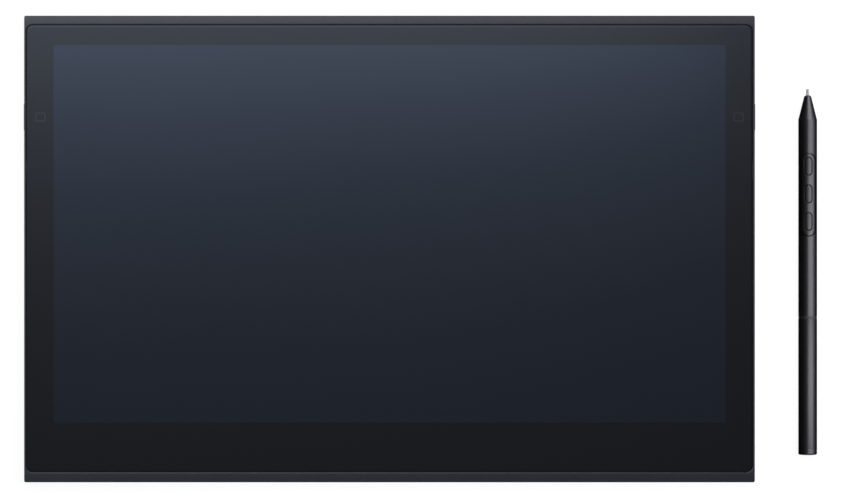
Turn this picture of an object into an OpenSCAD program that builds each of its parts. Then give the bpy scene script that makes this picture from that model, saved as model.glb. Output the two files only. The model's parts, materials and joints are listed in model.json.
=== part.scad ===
// Slim pen display with its pressure pen lying beside it.
// Millimetres. X runs to the right, Y away from the user and Z up. The desk is z = 0,
// and the origin lies on it below the centre of the tablet.

/* [Screen] */
// Diagonal of the picture area
screen_diagonal = 337.8; // [300:0.1:380]
// Width of the picture area over its height
screen_aspect = 1.7778; // [1.6:0.0001:1.8]
// Clear border of the panel round the picture area
panel_border = 2.4; // [1.5:0.1:3]
// Extra panel below the picture area, for the row of driver contacts
panel_foot = 4.6; // [3:0.1:8]
// Thickness of the bonding film under the glass
film_t = 0.15; // [0.1:0.01:0.2]
// Thickness of the display panel
panel_t = 0.8; // [0.6:0.05:0.9]
// Thickness of the pen digitizer sheet
digitizer_t = 0.4; // [0.3:0.05:0.5]
// Thickness of the metal shield behind the digitizer
shield_t = 0.15; // [0.1:0.05:0.25]

/* [Glass] */
// Black border of the glass at the left and right of the picture
side_border = 11.75; // [11:0.05:16]
// Black border of the glass above the picture
top_border = 8.6; // [7:0.1:14]
// Black border of the glass below the picture
bottom_border = 21.5; // [18:0.1:30]
// Thickness of the glass
glass_t = 0.7; // [0.5:0.05:0.9]
// Corner radius of the glass
glass_r = 2.8; // [1.5:0.1:5]
// Chamfer round the front edge of the glass
glass_chamfer = 0.15; // [0.05:0.05:0.3]
// Open gap between the glass and the housing
glass_gap = 0.15; // [0.1:0.05:0.6]
// Width of the ledge and tape that carry the edge of the glass
ledge_w = 2.8; // [2.4:0.1:3.4]
// Thickness of that tape
tape_t = 0.2; // [0.1:0.05:0.3]

/* [Housing] */
// Thickness from the flat back to the front of the glass
body_t = 6; // [5.8:0.1:7]
// Housing rim at the left and right of the glass
rim_side = 0.9; // [0.6:0.05:1.4]
// Housing strip above the glass
rim_top = 4; // [3:0.05:6]
// Housing strip below the glass
rim_bottom = 4.4; // [3:0.05:6]
// Width of the chamfer round the pocket that the glass lies in
pocket_chamfer = 0.45; // [0.1:0.05:0.5]
// Depth of that chamfer
pocket_chamfer_h = 0.25; // [0.1:0.05:0.4]
// Depth of the rim below the front of the glass
rim_drop = 0.1; // [0:0.05:0.2]
// Fall of the front strips towards their outer edge
strip_drop = 0.5; // [0.2:0.05:0.8]
// Thickness of the back wall
floor_t = 1; // [0.9:0.05:1.2]
// Width of the band where the back curves up to the edge
taper_w = 24; // [16:1:32]
// Rise of the back over that band
taper_h = 1.2; // [0.8:0.05:1.25]
// Corner radius of the outline
corner_r = 0.8; // [0.6:0.1:2]
// Radius of the outer edges
edge_r = 0.3; // [0.1:0.05:0.4]
// Width of the stiffening ribs
rib_w = 1.2; // [0.8:0.1:2]
// Distance between the stiffening ribs
rib_pitch = 48; // [40:1:52]

/* [Feet] */
// Length of a rubber foot
foot_l = 36; // [20:1:50]
// Width of a rubber foot
foot_w = 7; // [5:0.5:9]
// Height of a foot below the back
foot_h = 0.6; // [0.4:0.05:1]
// Depth of the pocket that a foot sits in
foot_seat = 0.4; // [0.2:0.05:0.5]
// Distance from the side of the housing to the middle of a foot
foot_from_side = 52; // [46:1:70]
// Distance from the top or bottom of the housing to the middle of a foot
foot_from_end = 32; // [29:1:45]

/* [Side buttons and touch keys] */
// Distance from the top of the housing to the middle of the side buttons
key_from_top = 44.4; // [40:0.1:60]
// Length of a side button
key_l = 11.8; // [9:0.1:14]
// Height of a side button
key_h = 2.2; // [1.6:0.1:2.4]
// Height of a side button above the side of the housing
key_proud = 0.3; // [0.25:0.05:0.5]
// Travel of a side button
key_travel = 0.2; // [0.1:0.05:0.25]
// Width of the light guide under a touch key
lens_w = 4.8; // [3.5:0.1:5]

/* [Sockets] */
// Distance from the side buttons down to the middle of the sockets
usb_from_key = 24; // [21:0.5:30]
// Width of the socket shell
usb_w = 8.94; // [8.7:0.01:9.1]
// Height of the socket shell
usb_h = 3.16; // [3:0.01:3.2]
// Wall of the socket shell
usb_wall = 0.3; // [0.2:0.05:0.35]
// Length of the socket shell
usb_l = 7.1; // [6.5:0.1:7.3]

/* [Boards] */
// Width of the main board
board_w = 150; // [130:1:170]
// Depth of the main board
board_d = 34; // [30:1:38]
// Thickness of all the circuit boards
board_t = 0.8; // [0.6:0.05:0.9]
// Height of the main board above the inside of the back
board_lift = 0.6; // [0.4:0.05:0.7]
// Width of a side board
side_board_w = 17; // [15:0.5:20]
// Thickness of the ribbon cables
ribbon_t = 0.15; // [0.1:0.01:0.18]
// Diameter of the screw shanks
screw_d = 1.5; // [1.2:0.1:1.6]
// Diameter of the screw heads
screw_head_d = 2.8; // [2.4:0.1:3]
// Height of the screw heads
screw_head_h = 0.5; // [0.3:0.05:0.55]

/* [Pen] */
// Length of the pen
pen_l = 160.5; // [150:0.5:175]
// Diameter of the barrel
pen_d = 8.2; // [8.1:0.05:9]
// Wall of the barrel
pen_wall = 1; // [0.9:0.05:1.05]
// Distance from the side of the tablet to the pen
pen_gap = 19.2; // [8:0.1:40]
// Distance from the top of the tablet to the tip of the pen
pen_tip_from_top = 32.1; // [10:0.1:60]
// Diameter of the nib
nib_d = 1.3; // [1:0.05:1.5]
// Length of nib that shows
nib_out = 2.8; // [2:0.1:4]
// Travel of the nib
nib_travel = 0.3; // [0.1:0.05:0.4]
// Length of the cone behind the nib
cone_l = 10.65; // [9:0.05:12]
// Diameter of the front of the cone
cone_d = 2.9; // [2.6:0.05:3.4]
// Distance from the tip to the end of the front barrel
joint_from_tip = 99.55; // [96:0.05:108]
// Length of the collar that shows between the front and rear barrels
collar_l = 1; // [0.6:0.1:2]
// Length of the rear end cap
cap_l = 2.6; // [2:0.1:5]
// Length of the end cap behind its ring groove
cap_ring_l = 1.5; // [1:0.1:1.6]
// Width of the ring grooves at the rear end
cap_groove = 0.3; // [0.1:0.02:0.4]
// Depth of the ring grooves at the rear end
cap_groove_depth = 0.1; // [0.04:0.02:0.3]

/* [Pen buttons] */
// Distance from the tip to the middle of the button plate
plate_from_tip = 46.4; // [45:0.1:52]
// Length of the button plate beyond the end buttons
plate_end = 2.2; // [1.8:0.05:3.5]
// Width of the button plate
plate_w = 6.2; // [5.9:0.1:6.4]
// Length of a pen button
pen_key_l = 7.8; // [7:0.1:9.2]
// Width of a pen button
pen_key_w = 3.1; // [3:0.1:3.9]
// Distance from one pen button to the next
pen_key_pitch = 12.1; // [11.6:0.1:12.4]
// Distance of the pen buttons towards the tip from the middle of their plate
pen_key_lead = 0.4; // [0:0.05:0.5]
// Height of a pen button above the barrel
pen_key_proud = 0.45; // [0.3:0.05:0.6]
// Travel of a pen button
pen_key_travel = 0.25; // [0.1:0.05:0.3]
// Open gap round the button plate and round each button
pen_key_gap = 0.2; // [0.1:0.02:0.26]

/* [Hidden] */
$fn = 64;
// Facets of a full circle where only a shallow arc of it shows
arc_facets = 1440;

// Clearance of parts that slide in one another
slide_fit = 0.12;
// Clearance of parts that are fitted and stay put
seat_fit = 0.1;
// Clearance of a round part in its bore
bore_fit = 0.05;
// Overshoot of cutting tools
over = 1;
// Lap where two forms of one piece run into each other
lap = 0.1;

// Picture, glass and body outlines
picture_d = screen_diagonal / sqrt(1 + pow(screen_aspect, 2));
picture_w = picture_d * screen_aspect;
glass_w = picture_w + 2 * side_border;
glass_d = picture_d + top_border + bottom_border;
pocket_w = glass_w + 2 * glass_gap;
pocket_d = glass_d + 2 * glass_gap;
body_w = pocket_w + 2 * rim_side;
body_d = pocket_d + rim_top + rim_bottom;
glass_y = (rim_bottom - rim_top) / 2;
picture_y = glass_y + (bottom_border - top_border) / 2;
half_w = body_w / 2;
half_d = body_d / 2;

// The chamfer of the pocket leaves a little of the side rims flat
rim_flat = 0.05;
pocket_break = min(pocket_chamfer, rim_side - edge_r - rim_flat);
pocket_r = glass_r + glass_gap;

// Levels of the stack, from the desk up
back_z = foot_h;
floor_z = back_z + floor_t;
front_z = back_z + body_t;
rim_z = front_z - rim_drop;
glass_z = front_z - glass_t;
ledge_z = glass_z - tape_t;
panel_z = glass_z - film_t - panel_t;
digitizer_z = panel_z - digitizer_t;
shield_z = digitizer_z - shield_t;

// The back curves up on an arc that starts level with the flat back
taper_r = (pow(taper_w, 2) + pow(taper_h, 2)) / (2 * taper_h);
// Height of the inside of the back at a distance in from the side of the housing
function inside_rise(from_side) =
    taper_r - sqrt(pow(taper_r - floor_t, 2) - pow(max(0, taper_w - from_side), 2));
// The frame stands just above the highest part of the inside of the back
frame_z = back_z + inside_rise(rim_side) + bore_fit;
frame_in_x = glass_w / 2 - ledge_w;
frame_in_top = glass_y + glass_d / 2 - ledge_w;
frame_in_bottom = glass_y - glass_d / 2 + ledge_w;

// Screw tabs inside the frame, and their places along its sides
tab_w = 6;
tab_l = 6;
tab_t = 0.8;
tab_root = 0.2;
tab_from_top = 18;
tab_from_bottom = 20;
tab_below_board = 16;

// Panel outline
panel_w = picture_w + 2 * panel_border;
panel_d = picture_d + 2 * panel_border + panel_foot;
panel_y = picture_y - panel_foot / 2;
panel_bottom = panel_y - panel_d / 2;

// Side buttons, touch keys and sockets
key_y = half_d - key_from_top;
key_drop = 0.25;
key_z = (frame_z + ledge_z) / 2 - key_drop;
key_flange = 0.8;
key_flange_t = 0.8;
key_wall = 0.7;
key_pocket_x = half_w - rim_side - seat_fit - key_wall;
key_flange_x = key_pocket_x - bore_fit;
usb_y = key_y - usb_from_key;
usb_rise = 0.33;
usb_recess = 0.3;
usb_room = 0.12;
usb_z = back_z + taper_h + usb_h / 2 + usb_rise;
usb_front_x = half_w - usb_recess;
usb_back_x = usb_front_x - usb_l;
tongue_w = 6.69;
tongue_t = 0.7;
tongue_recess = 0.9;
tongue_base_l = 1.2;

// Side boards, their switches and light guides
side_board_z = frame_z;
side_board_gap = 0.2;
side_board_x = frame_in_x - side_board_gap;
side_board_margin = 9;
side_board_tail = 2;
side_board_top = key_y + side_board_margin;
side_board_bottom = usb_y - side_board_margin - side_board_tail;
switch_l = 4.6;
switch_x = 3.4;
switch_h = 1.5;
switch_front_x = side_board_x;
plunger_w = 1.8;
plunger_h = 0.8;
plunger_in = 0.8;
plunger_out = 0.6;
plunger_z = side_board_z + board_t + switch_h / 2;
lens_t = 0.45;
lens_r = 0.8;
lens_x = (panel_w / 2 + frame_in_x) / 2;
led_l = 1.6;
led_w = 0.8;
led_h = 0.45;
led_from_switch = 2.4;
led_y = key_y - switch_l / 2 - led_from_switch;
side_post_inset = 3;
side_post_low = 7.5;
side_post_x = side_board_x - side_board_w + side_post_inset;

// Main board, its posts and the screw drives
board_from_panel = 13;
board_z = floor_z + board_lift;
board_top = board_z + board_t;
board_y = panel_bottom + board_from_panel + board_d / 2;
post_d = 4;
post_inset = 4;
drive_l = 1.68;
drive_w = 0.35;

// Cans and chips on the main board
can_left_x = -31;
can_left_w = 46;
can_right_x = 27;
can_right_w = 40;
can_d = 15;
can_shift = 2;
can_wall = 0.2;
can_h = 1;
chip_w = 11;
chip_h = 0.7;

// Ribbons and connectors
ribbon_gap = 0.1;
ribbon_z = shield_z - ribbon_gap - ribbon_t;
ribbon_turn = 1.6;
screen_ribbon_x = -32;
screen_ribbon_w = 36;
digitizer_ribbon_x = 34;
digitizer_ribbon_w = 24;
side_ribbon_w = 8;
connector_d = 4;
connector_inset = 1.5;
connector_ears = 3;
side_connector_ears = 2;
side_connector_inset = 7;
connector_y = board_y - board_d / 2 + connector_d / 2 + connector_inset;
side_connector_x = board_w / 2 - side_connector_inset - side_ribbon_w / 2;
side_connector_y = board_y + board_d / 2 - connector_d / 2 - connector_inset;
side_tail_shift = 1;
side_tail_inset = 1;
side_tail_x = side_board_x - side_board_w / 2 + side_tail_shift;
side_tail_y = side_board_bottom + connector_d / 2 + side_tail_inset;

// Field of ribs above the main board's bay
rib_from_side = 36;
rib_from_board = 8;
rib_from_taper = 3;
rib_room = 0.15;

// Stepped edge of the feet
foot_lip = 0.4;
foot_lip_h = 0.2;

// Pen, measured back from its tip along local Z, with local Y up
pen_r = pen_d / 2;
bore_r = pen_r - pen_wall;
pen_x = half_w + pen_gap + pen_r;
pen_tip_y = half_d - pen_tip_from_top;
nib_r = nib_d / 2;
cone_end = nib_out + cone_l;
cone_slope = (pen_r - cone_d / 2) / cone_l;
nib_round = 0.35;
nib_room = 0.2;
nib_hole_r = nib_r + nib_room;
cone_thinning = 0.05;
cone_wall = pen_wall - cone_thinning;
cone_lip_most = 0.4;
cone_lip = min(cone_lip_most, cone_d / 2 - nib_hole_r - seat_fit);

// Core, coil and pressure sensor behind the nib
core_room = 0.15;
core_hole_r = nib_r + core_room;
core_r = 1.55;
core_l = 9;
core_past_cone = 6;
core_end = cone_end + core_past_cone;
coil_r = 2.05;
coil_front_inset = 0.2;
coil_rear_inset = 0.4;
sensor_gap = 1.1;
sensor_start = core_end + sensor_gap;
sensor_l = 7.2;
sensor_end = sensor_start + sensor_l;
plunger_r = 0.85;
plunger_front = 0.3;
plunger_seat = 1.8;
sensor_room = 0.3;
sensor_well = plunger_seat + nib_travel + sensor_room;
nib_end = sensor_start - plunger_front;

// Chassis and the board on its deck
chassis_r = bore_r - seat_fit;
cradle_r = coil_r + seat_fit;
cradle_start = cone_end + seat_fit;
cradle_past_sensor = 0.3;
cradle_end = sensor_end + cradle_past_sensor;
deck_u = -0.6;
pen_board_t = 0.8;
pen_board_top = deck_u + pen_board_t;
pen_board_w = 4.6;
pen_board_margin = 0.5;

// Plug, collar and seal ring where the barrels meet
seam = 0.06;
collar_drop = 0.06;
plug_in_front = 7.3;
plug_in_rear = 7.3;
plug_gap = 0.5;
collar_start = joint_from_tip + seam;
rear_start = collar_start + collar_l + seam;
plug_start = joint_from_tip - plug_in_front;
plug_end = rear_start + plug_in_rear;
chassis_end = plug_start - plug_gap;
plug_r = bore_r - bore_fit;
ring_from_collar = 2.4;
ring_at = rear_start + ring_from_collar;
ring_r = 0.3;
ring_room = 0.03;
ring_centre_r = bore_r - ring_room - ring_r;
store_r = 1.4;
store_depth = 11;
store_count = 3;

// End cap
cap_start = pen_l - cap_l;
cap_spigot = 4;
cap_edge_r = 0.6;
cap_bulge = 0.2;

// Button plate and buttons of the pen
plate_l = 2 * pen_key_pitch + pen_key_l + 2 * plate_end;
plate_t = 0.6;
plate_seat_r = pen_r - plate_t;
plate_step = 0.75;
plate_crown = 0.2;
pen_key_flange = 0.42;
pen_key_flange_t = 0.4;
pen_key_top_r = pen_r + pen_key_proud;
pen_switch_w = 2.6;
pen_switch_l = 3.4;
pen_switch_h = 1.2;
pen_plunger_r = 0.65;
pen_plunger_well = 0.75;
pen_plunger_out = 0.5;
pen_plunger_top = pen_board_top + pen_switch_h + pen_plunger_out;

// Plain helpers

// Rectangle with round corners, centred
module rounded_rect(w, d, r) {
    square([w - 2 * r, d], center = true);
    square([w, d - 2 * r], center = true);
    for (x = [-1, 1], y = [-1, 1])
        translate([x * (w / 2 - r), y * (d / 2 - r)]) circle(r);
}

// Strip with half-round ends, lying along Y
module stadium(l, w) {
    square([w, l - w], center = true);
    for (y = [-1, 1])
        translate([0, y * (l - w) / 2]) circle(w / 2);
}

module rounded_plate(w, d, r, h) {
    linear_extrude(h) rounded_rect(w, d, r);
}

// A section drawn in X and Z, carried along the whole depth of the body
module along_depth() {
    translate([0, half_d + over, 0]) rotate([90, 0, 0])
        linear_extrude(body_d + 2 * over) children();
}

// A section drawn in Y and Z, carried along the whole width of the body
module along_width() {
    translate([-half_w - over, 0, 0]) rotate([90, 0, 90])
        linear_extrude(body_w + 2 * over) children();
}

// The right-hand piece for side 1, and its mirror image for side -1
module on_side(side) {
    mirror([side < 0 ? 1 : 0, 0, 0]) children();
}

// What is left outside a round of radius r between two directions, for cutting an edge round
module edge_cut(centre, from, to, r) {
    reach = 4 * r;
    mid = (from + to) / 2;
    translate(centre) difference() {
        polygon([
            [0, 0],
            reach * [cos(from), sin(from)],
            2 * reach * [cos(mid), sin(mid)],
            reach * [cos(to), sin(to)]
        ]);
        circle(r);
    }
}

// Housing

// Below the curved band of the back, drawn for the side at +X: the arc has radius r
module taper_cut(half, r, level) {
    translate([half - taper_w, level]) difference() {
        translate([0, -over]) square([taper_w + over, taper_r]);
        translate([0, taper_r]) circle(r, $fn = arc_facets);
    }
}

// Where the curved back meets the side wall, rounded off
module lower_edge_cut(half) {
    x = taper_w - edge_r;
    z = taper_r - sqrt(pow(taper_r - edge_r, 2) - pow(x, 2));
    edge_cut([half - edge_r, back_z + z], atan2(z - taper_r, x), 0, edge_r);
}

// The front strip falls on an arc to its outer edge, which is rounded off
module strip_cut(half, rim) {
    r = (pow(rim, 2) + pow(strip_drop, 2)) / (2 * strip_drop);
    y = rim - edge_r;
    z = sqrt(pow(r - edge_r, 2) - pow(y, 2)) - r;
    translate([half - rim, rim_z]) difference() {
        translate([0, -strip_drop]) square([rim + over, strip_drop + over]);
        translate([0, -r]) circle(r, $fn = arc_facets);
    }
    edge_cut([half - edge_r, rim_z + z], 0, atan2(z + r, y), edge_r);
}

module across_section() {
    difference() {
        translate([-half_w, back_z]) square([body_w, rim_z - back_z]);
        for (side = [0, 1]) mirror([side, 0]) {
            taper_cut(half_w, taper_r, back_z);
            lower_edge_cut(half_w);
            edge_cut([half_w - edge_r, rim_z - edge_r], 0, 90, edge_r);
        }
    }
}

module depth_section() {
    difference() {
        translate([-half_d, back_z]) square([body_d, rim_z - back_z]);
        for (side = [0, 1]) mirror([side, 0]) {
            taper_cut(half_d, taper_r, back_z);
            lower_edge_cut(half_d);
        }
        strip_cut(half_d, rim_top);
        mirror([1, 0]) strip_cut(half_d, rim_bottom);
    }
}

module housing_blank() {
    difference() {
        intersection() {
            along_depth() across_section();
            along_width() depth_section();
        }
        for (x = [0, 1], y = [0, 1]) mirror([x, 0, 0]) mirror([0, y, 0])
            translate([0, 0, back_z - over]) linear_extrude(body_t + 2 * over)
                edge_cut([half_w - corner_r, half_d - corner_r], 0, 90, corner_r);
    }
}

module inside_section(half) {
    difference() {
        translate([-half, floor_z]) square([2 * half, body_t]);
        for (side = [0, 1]) mirror([side, 0]) taper_cut(half, taper_r - floor_t, back_z);
    }
}

module housing_cavity() {
    intersection() {
        along_depth() inside_section(half_w);
        along_width() inside_section(half_d);
        translate([0, glass_y, back_z])
            rounded_plate(pocket_w, pocket_d, pocket_r, body_t + over);
    }
}

// Widens the mouth of the pocket upwards: straight along the sides, a cone at each corner
module pocket_edge_cut() {
    rise = pocket_chamfer_h + over;
    reach = pocket_break * rise / pocket_chamfer_h;
    straight_w = pocket_w - 2 * pocket_r;
    straight_d = pocket_d - 2 * pocket_r;
    translate([0, glass_y, rim_z - pocket_chamfer_h]) {
        translate([-straight_w / 2, 0, 0]) rotate([90, 0, 90])
            linear_extrude(straight_w) mouth_section(pocket_d / 2, reach, rise);
        translate([0, straight_d / 2, 0]) rotate([90, 0, 0])
            linear_extrude(straight_d) mouth_section(pocket_w / 2, reach, rise);
        for (x = [-1, 1], y = [-1, 1]) translate([x * straight_w / 2, y * straight_d / 2, 0])
            cylinder(r1 = pocket_r, r2 = pocket_r + reach, h = rise);
    }
}

module mouth_section(half, reach, rise) {
    polygon([[-half, 0], [half, 0], [half + reach, rise], [-half - reach, rise]]);
}

function foot_places() = [
    for (x = [-1, 1], y = [-1, 1]) [x * (half_w - foot_from_side), y * (half_d - foot_from_end)]
];

function board_post_places() = [
    for (x = [-1, 1], y = [-1, 1])
        [x * (board_w / 2 - post_inset), board_y + y * (board_d / 2 - post_inset)]
];

function side_post_places() = [
    for (x = [-1, 1], y = [side_board_bottom + side_post_low, side_board_top - side_post_inset])
        [x * side_post_x, y]
];

// Screw places of the frame's tabs: three at each side, two at the top and two at the bottom
function side_tab_places() = [
    for (x = [-1, 1])
        for (y = [half_d - tab_from_top, side_board_bottom - tab_below_board, tab_from_bottom - half_d])
            [x * (frame_in_x - tab_l / 2), y]
];

function end_tab_places() = [
    for (x = [-1, 1], y = [frame_in_top - tab_l / 2, frame_in_bottom + tab_l / 2])
        [x * half_w / 2, y]
];

module at_places(places, z) {
    for (p = places) translate([p[0], p[1], z]) children();
}

// Lattice of ribs above the main board's bay
module ribs() {
    columns = floor((half_w - taper_w - rib_from_side) / rib_pitch);
    low = board_y + board_d / 2 + rib_from_board;
    high = half_d - taper_w - rib_from_taper;
    rib_h = ribbon_z - rib_room - floor_z;
    for (i = [-columns:columns])
        translate([i * rib_pitch - rib_w / 2, low, floor_z - lap])
            cube([rib_w, high - low, rib_h + lap]);
    for (y = [low, (low + high) / 2, high])
        translate([-columns * rib_pitch - rib_w / 2, y - rib_w / 2, floor_z - lap])
            cube([2 * columns * rib_pitch + rib_w, rib_w, rib_h + lap]);
}

module posts(places, top) {
    at_places(places, floor_z - lap) cylinder(d = post_d, h = top - floor_z + lap);
}

// Screw holes, down to a skin of the back wall
module screw_holes(places, top, bottom) {
    at_places(places, bottom) cylinder(d = screw_d + 2 * bore_fit, h = top - bottom + over);
}

// Slot for a side button, through the wall at +X
module key_slot(room) {
    translate([half_w - 2 * ledge_w, key_y, key_z]) rotate([0, 90, 0])
        linear_extrude(3 * ledge_w) stadium(key_l + 2 * room, key_h + 2 * room);
}

// Space for a socket shell, from its back end out through the wall at +X
module socket_slot(room) {
    translate([usb_back_x - room, usb_y, usb_z]) rotate([0, 90, 0])
        linear_extrude(usb_l + over + 2 * room) stadium(usb_w + 2 * room, usb_h + 2 * room);
}

module rear_housing() {
    color([0.17, 0.175, 0.195]) difference() {
        union() {
            difference() {
                housing_blank();
                housing_cavity();
                pocket_edge_cut();
            }
            ribs();
            posts(board_post_places(), board_z);
            posts(side_post_places(), side_board_z);
            intersection() {
                posts(concat(side_tab_places(), end_tab_places()), frame_z);
                translate([0, glass_y, back_z])
                    rounded_plate(pocket_w, pocket_d, pocket_r, body_t);
            }
        }
        screw_holes(board_post_places(), board_z, floor_z);
        screw_holes(side_post_places(), side_board_z, floor_z);
        screw_holes(concat(side_tab_places(), end_tab_places()), frame_z, floor_z);
        at_places(foot_places(), back_z - over)
            linear_extrude(over + foot_seat) rotate(90) stadium(foot_l, foot_w);
        for (side = [-1, 1]) on_side(side) {
            key_slot(slide_fit);
            socket_slot(usb_room);
        }
    }
}

// Frame that carries the glass inside the housing

module frame_ring(low, high) {
    inner_d = frame_in_top - frame_in_bottom;
    translate([0, 0, low]) linear_extrude(high - low) difference() {
        translate([0, glass_y])
            rounded_rect(pocket_w - 2 * seat_fit, pocket_d - 2 * seat_fit, pocket_r - seat_fit);
        translate([0, (frame_in_top + frame_in_bottom) / 2]) square([2 * frame_in_x, inner_d], center = true);
    }
}

module frame_tabs() {
    length = tab_l + 2 * tab_root;
    for (p = side_tab_places())
        translate([p[0], p[1], frame_z + tab_t / 2]) cube([length, tab_w, tab_t], center = true);
    for (p = end_tab_places())
        translate([p[0], p[1], frame_z + tab_t / 2]) cube([tab_w, length, tab_t], center = true);
}

module mid_frame() {
    flange_l = key_l + 2 * key_flange + 2 * slide_fit;
    flange_top = key_z + key_h / 2 + slide_fit;
    color([0.12, 0.12, 0.13]) difference() {
        union() {
            frame_ring(frame_z, ledge_z);
            frame_tabs();
        }
        screw_holes(concat(side_tab_places(), end_tab_places()), ledge_z, frame_z - over);
        for (side = [-1, 1]) on_side(side) {
            key_slot(slide_fit);
            translate([frame_in_x - over, key_y - flange_l / 2, frame_z - over])
                cube([key_pocket_x - frame_in_x + over, flange_l, flange_top - frame_z + over]);
            translate([usb_back_x, usb_y - usb_w / 2 - usb_room, frame_z - over])
                cube([usb_l + over, usb_w + 2 * usb_room, usb_z + usb_h / 2 + usb_room - frame_z + over]);
        }
    }
}

// Glass and the screen stack bonded to it

module glass_section(half, shift) {
    c = glass_chamfer;
    translate([shift, 0]) polygon([
        [-half, glass_z], [half, glass_z], [half, front_z - c],
        [half - c, front_z], [c - half, front_z], [-half, front_z - c]
    ]);
}

module front_glass() {
    color([0.04, 0.045, 0.055]) intersection() {
        along_depth() glass_section(glass_w / 2, 0);
        along_width() glass_section(glass_d / 2, glass_y);
        translate([0, glass_y, glass_z]) rounded_plate(glass_w, glass_d, glass_r, glass_t);
    }
}

module glass_tape() {
    color([0.03, 0.03, 0.03]) frame_ring(ledge_z, glass_z);
}

module screen_layer(z, t) {
    translate([-panel_w / 2, panel_bottom, z]) cube([panel_w, panel_d, t]);
}

module bonding_film() {
    color([0.8, 0.85, 0.9]) screen_layer(glass_z - film_t, film_t);
}

module display_panel() {
    color([0.06, 0.07, 0.1]) screen_layer(panel_z, panel_t);
}

module digitizer_sheet() {
    color([0.5, 0.32, 0.12]) screen_layer(digitizer_z, digitizer_t);
}

module shield_plate() {
    color([0.6, 0.61, 0.63]) screen_layer(shield_z, shield_t);
}

// Boards, connectors and ribbons

module main_board() {
    color([0.05, 0.25, 0.14]) difference() {
        translate([-board_w / 2, board_y - board_d / 2, board_z]) cube([board_w, board_d, board_t]);
        screw_holes(board_post_places(), board_top, board_z - over);
    }
}

// Cans over the two chip groups: [x, y, width, depth]
function can_places() = [
    [can_left_x, board_y + can_shift, can_left_w, can_d],
    [can_right_x, board_y + can_shift, can_right_w, can_d]
];

module board_shield_cans() {
    color([0.66, 0.67, 0.68]) for (c = can_places())
        translate([c[0] - c[2] / 2, c[1] - c[3] / 2, board_top]) difference() {
            cube([c[2], c[3], can_h]);
            translate([can_wall, can_wall, -over])
                cube([c[2] - 2 * can_wall, c[3] - 2 * can_wall, can_h + over - can_wall]);
        }
}

module controller_chips() {
    color([0.08, 0.08, 0.09]) for (c = can_places(), k = [-1, 1])
        translate([c[0] + k * c[2] / 4, c[1], board_top])
            translate([-chip_w / 2, -chip_w / 2, 0]) cube([chip_w, chip_w, chip_h]);
}

module connector(x, y, w, low) {
    translate([x - w / 2, y - connector_d / 2, low]) cube([w, connector_d, ribbon_z - low]);
}

module board_connectors() {
    color([0.75, 0.72, 0.62]) {
        connector(screen_ribbon_x, connector_y, screen_ribbon_w + connector_ears, board_top);
        connector(digitizer_ribbon_x, connector_y, digitizer_ribbon_w + connector_ears, board_top);
        for (side = [-1, 1]) {
            w = side_ribbon_w + side_connector_ears;
            connector(side * side_connector_x, side_connector_y, w, board_top);
            connector(side * side_tail_x, side_tail_y, w, side_board_z + board_t);
        }
    }
}

// Ribbon that leaves the lower edge of a layer at height z, turns under it and runs to its connector
module turned_ribbon(x, w, z) {
    outer = (z + ribbon_t - ribbon_z) / 2;
    start = panel_bottom;
    turn = panel_bottom - ribbon_turn;
    finish = connector_y + connector_d / 2;
    translate([x - w / 2, 0, 0]) rotate([90, 0, 90]) linear_extrude(w) {
        translate([turn, z]) square([start - turn, ribbon_t]);
        translate([turn, ribbon_z]) square([finish - turn, ribbon_t]);
        translate([turn, ribbon_z + outer]) difference() {
            circle(outer);
            circle(outer - ribbon_t);
            translate([0, -outer - over]) square(2 * outer + 2 * over);
        }
    }
}

module display_ribbon() {
    color([0.72, 0.45, 0.12])
        turned_ribbon(screen_ribbon_x, screen_ribbon_w, panel_z + panel_t / 2);
}

module digitizer_ribbon() {
    color([0.72, 0.45, 0.12])
        turned_ribbon(digitizer_ribbon_x, digitizer_ribbon_w, digitizer_z + digitizer_t / 2);
}

module side_board(side) {
    w = side_board_w;
    color([0.05, 0.25, 0.14]) on_side(side) difference() {
        translate([side_board_x - w, side_board_bottom, side_board_z])
            cube([w, side_board_top - side_board_bottom, board_t]);
        translate([usb_back_x - usb_room, usb_y - usb_w / 2 - usb_room, side_board_z - over])
            cube([w, usb_w + 2 * usb_room, board_t + 2 * over]);
        screw_holes(side_post_places(), side_board_z + board_t, side_board_z - over);
    }
}

// Flat ribbon that runs down from a side board and in to the main board
module side_ribbon(side) {
    w = side_ribbon_w;
    color([0.72, 0.45, 0.12]) on_side(side) translate([0, 0, ribbon_z]) linear_extrude(ribbon_t) {
        translate([side_tail_x - w / 2, side_connector_y - connector_d / 2])
            square([w, side_tail_y + connector_d / 2 - side_connector_y + connector_d / 2]);
        translate([side_connector_x - w / 2, side_connector_y - connector_d / 2])
            square([side_tail_x - side_connector_x + w, connector_d]);
    }
}

// Sockets

// A shape drawn in Z and Y, carried inwards from the plane x
module inwards(x, l) {
    translate([x, usb_y, usb_z]) rotate([0, -90, 0]) linear_extrude(l) children();
}

module socket_shell(side) {
    color([0.7, 0.7, 0.72]) on_side(side) difference() {
        inwards(usb_front_x, usb_l) stadium(usb_w, usb_h);
        inwards(usb_front_x + over, usb_l + over - usb_wall)
            stadium(usb_w - 2 * usb_wall, usb_h - 2 * usb_wall);
    }
}

module socket_tongue(side) {
    back = usb_back_x + usb_wall;
    tip = usb_front_x - tongue_recess;
    shell_room = 2 * usb_wall + 2 * bore_fit;
    color([0.06, 0.06, 0.06]) on_side(side) {
        inwards(back + tongue_base_l, tongue_base_l) stadium(usb_w - shell_room, usb_h - shell_room);
        inwards(tip, tip - back - tongue_base_l / 2) square([tongue_t, tongue_w], center = true);
    }
}

// Side buttons with their switches, and the touch keys' lights

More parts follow.
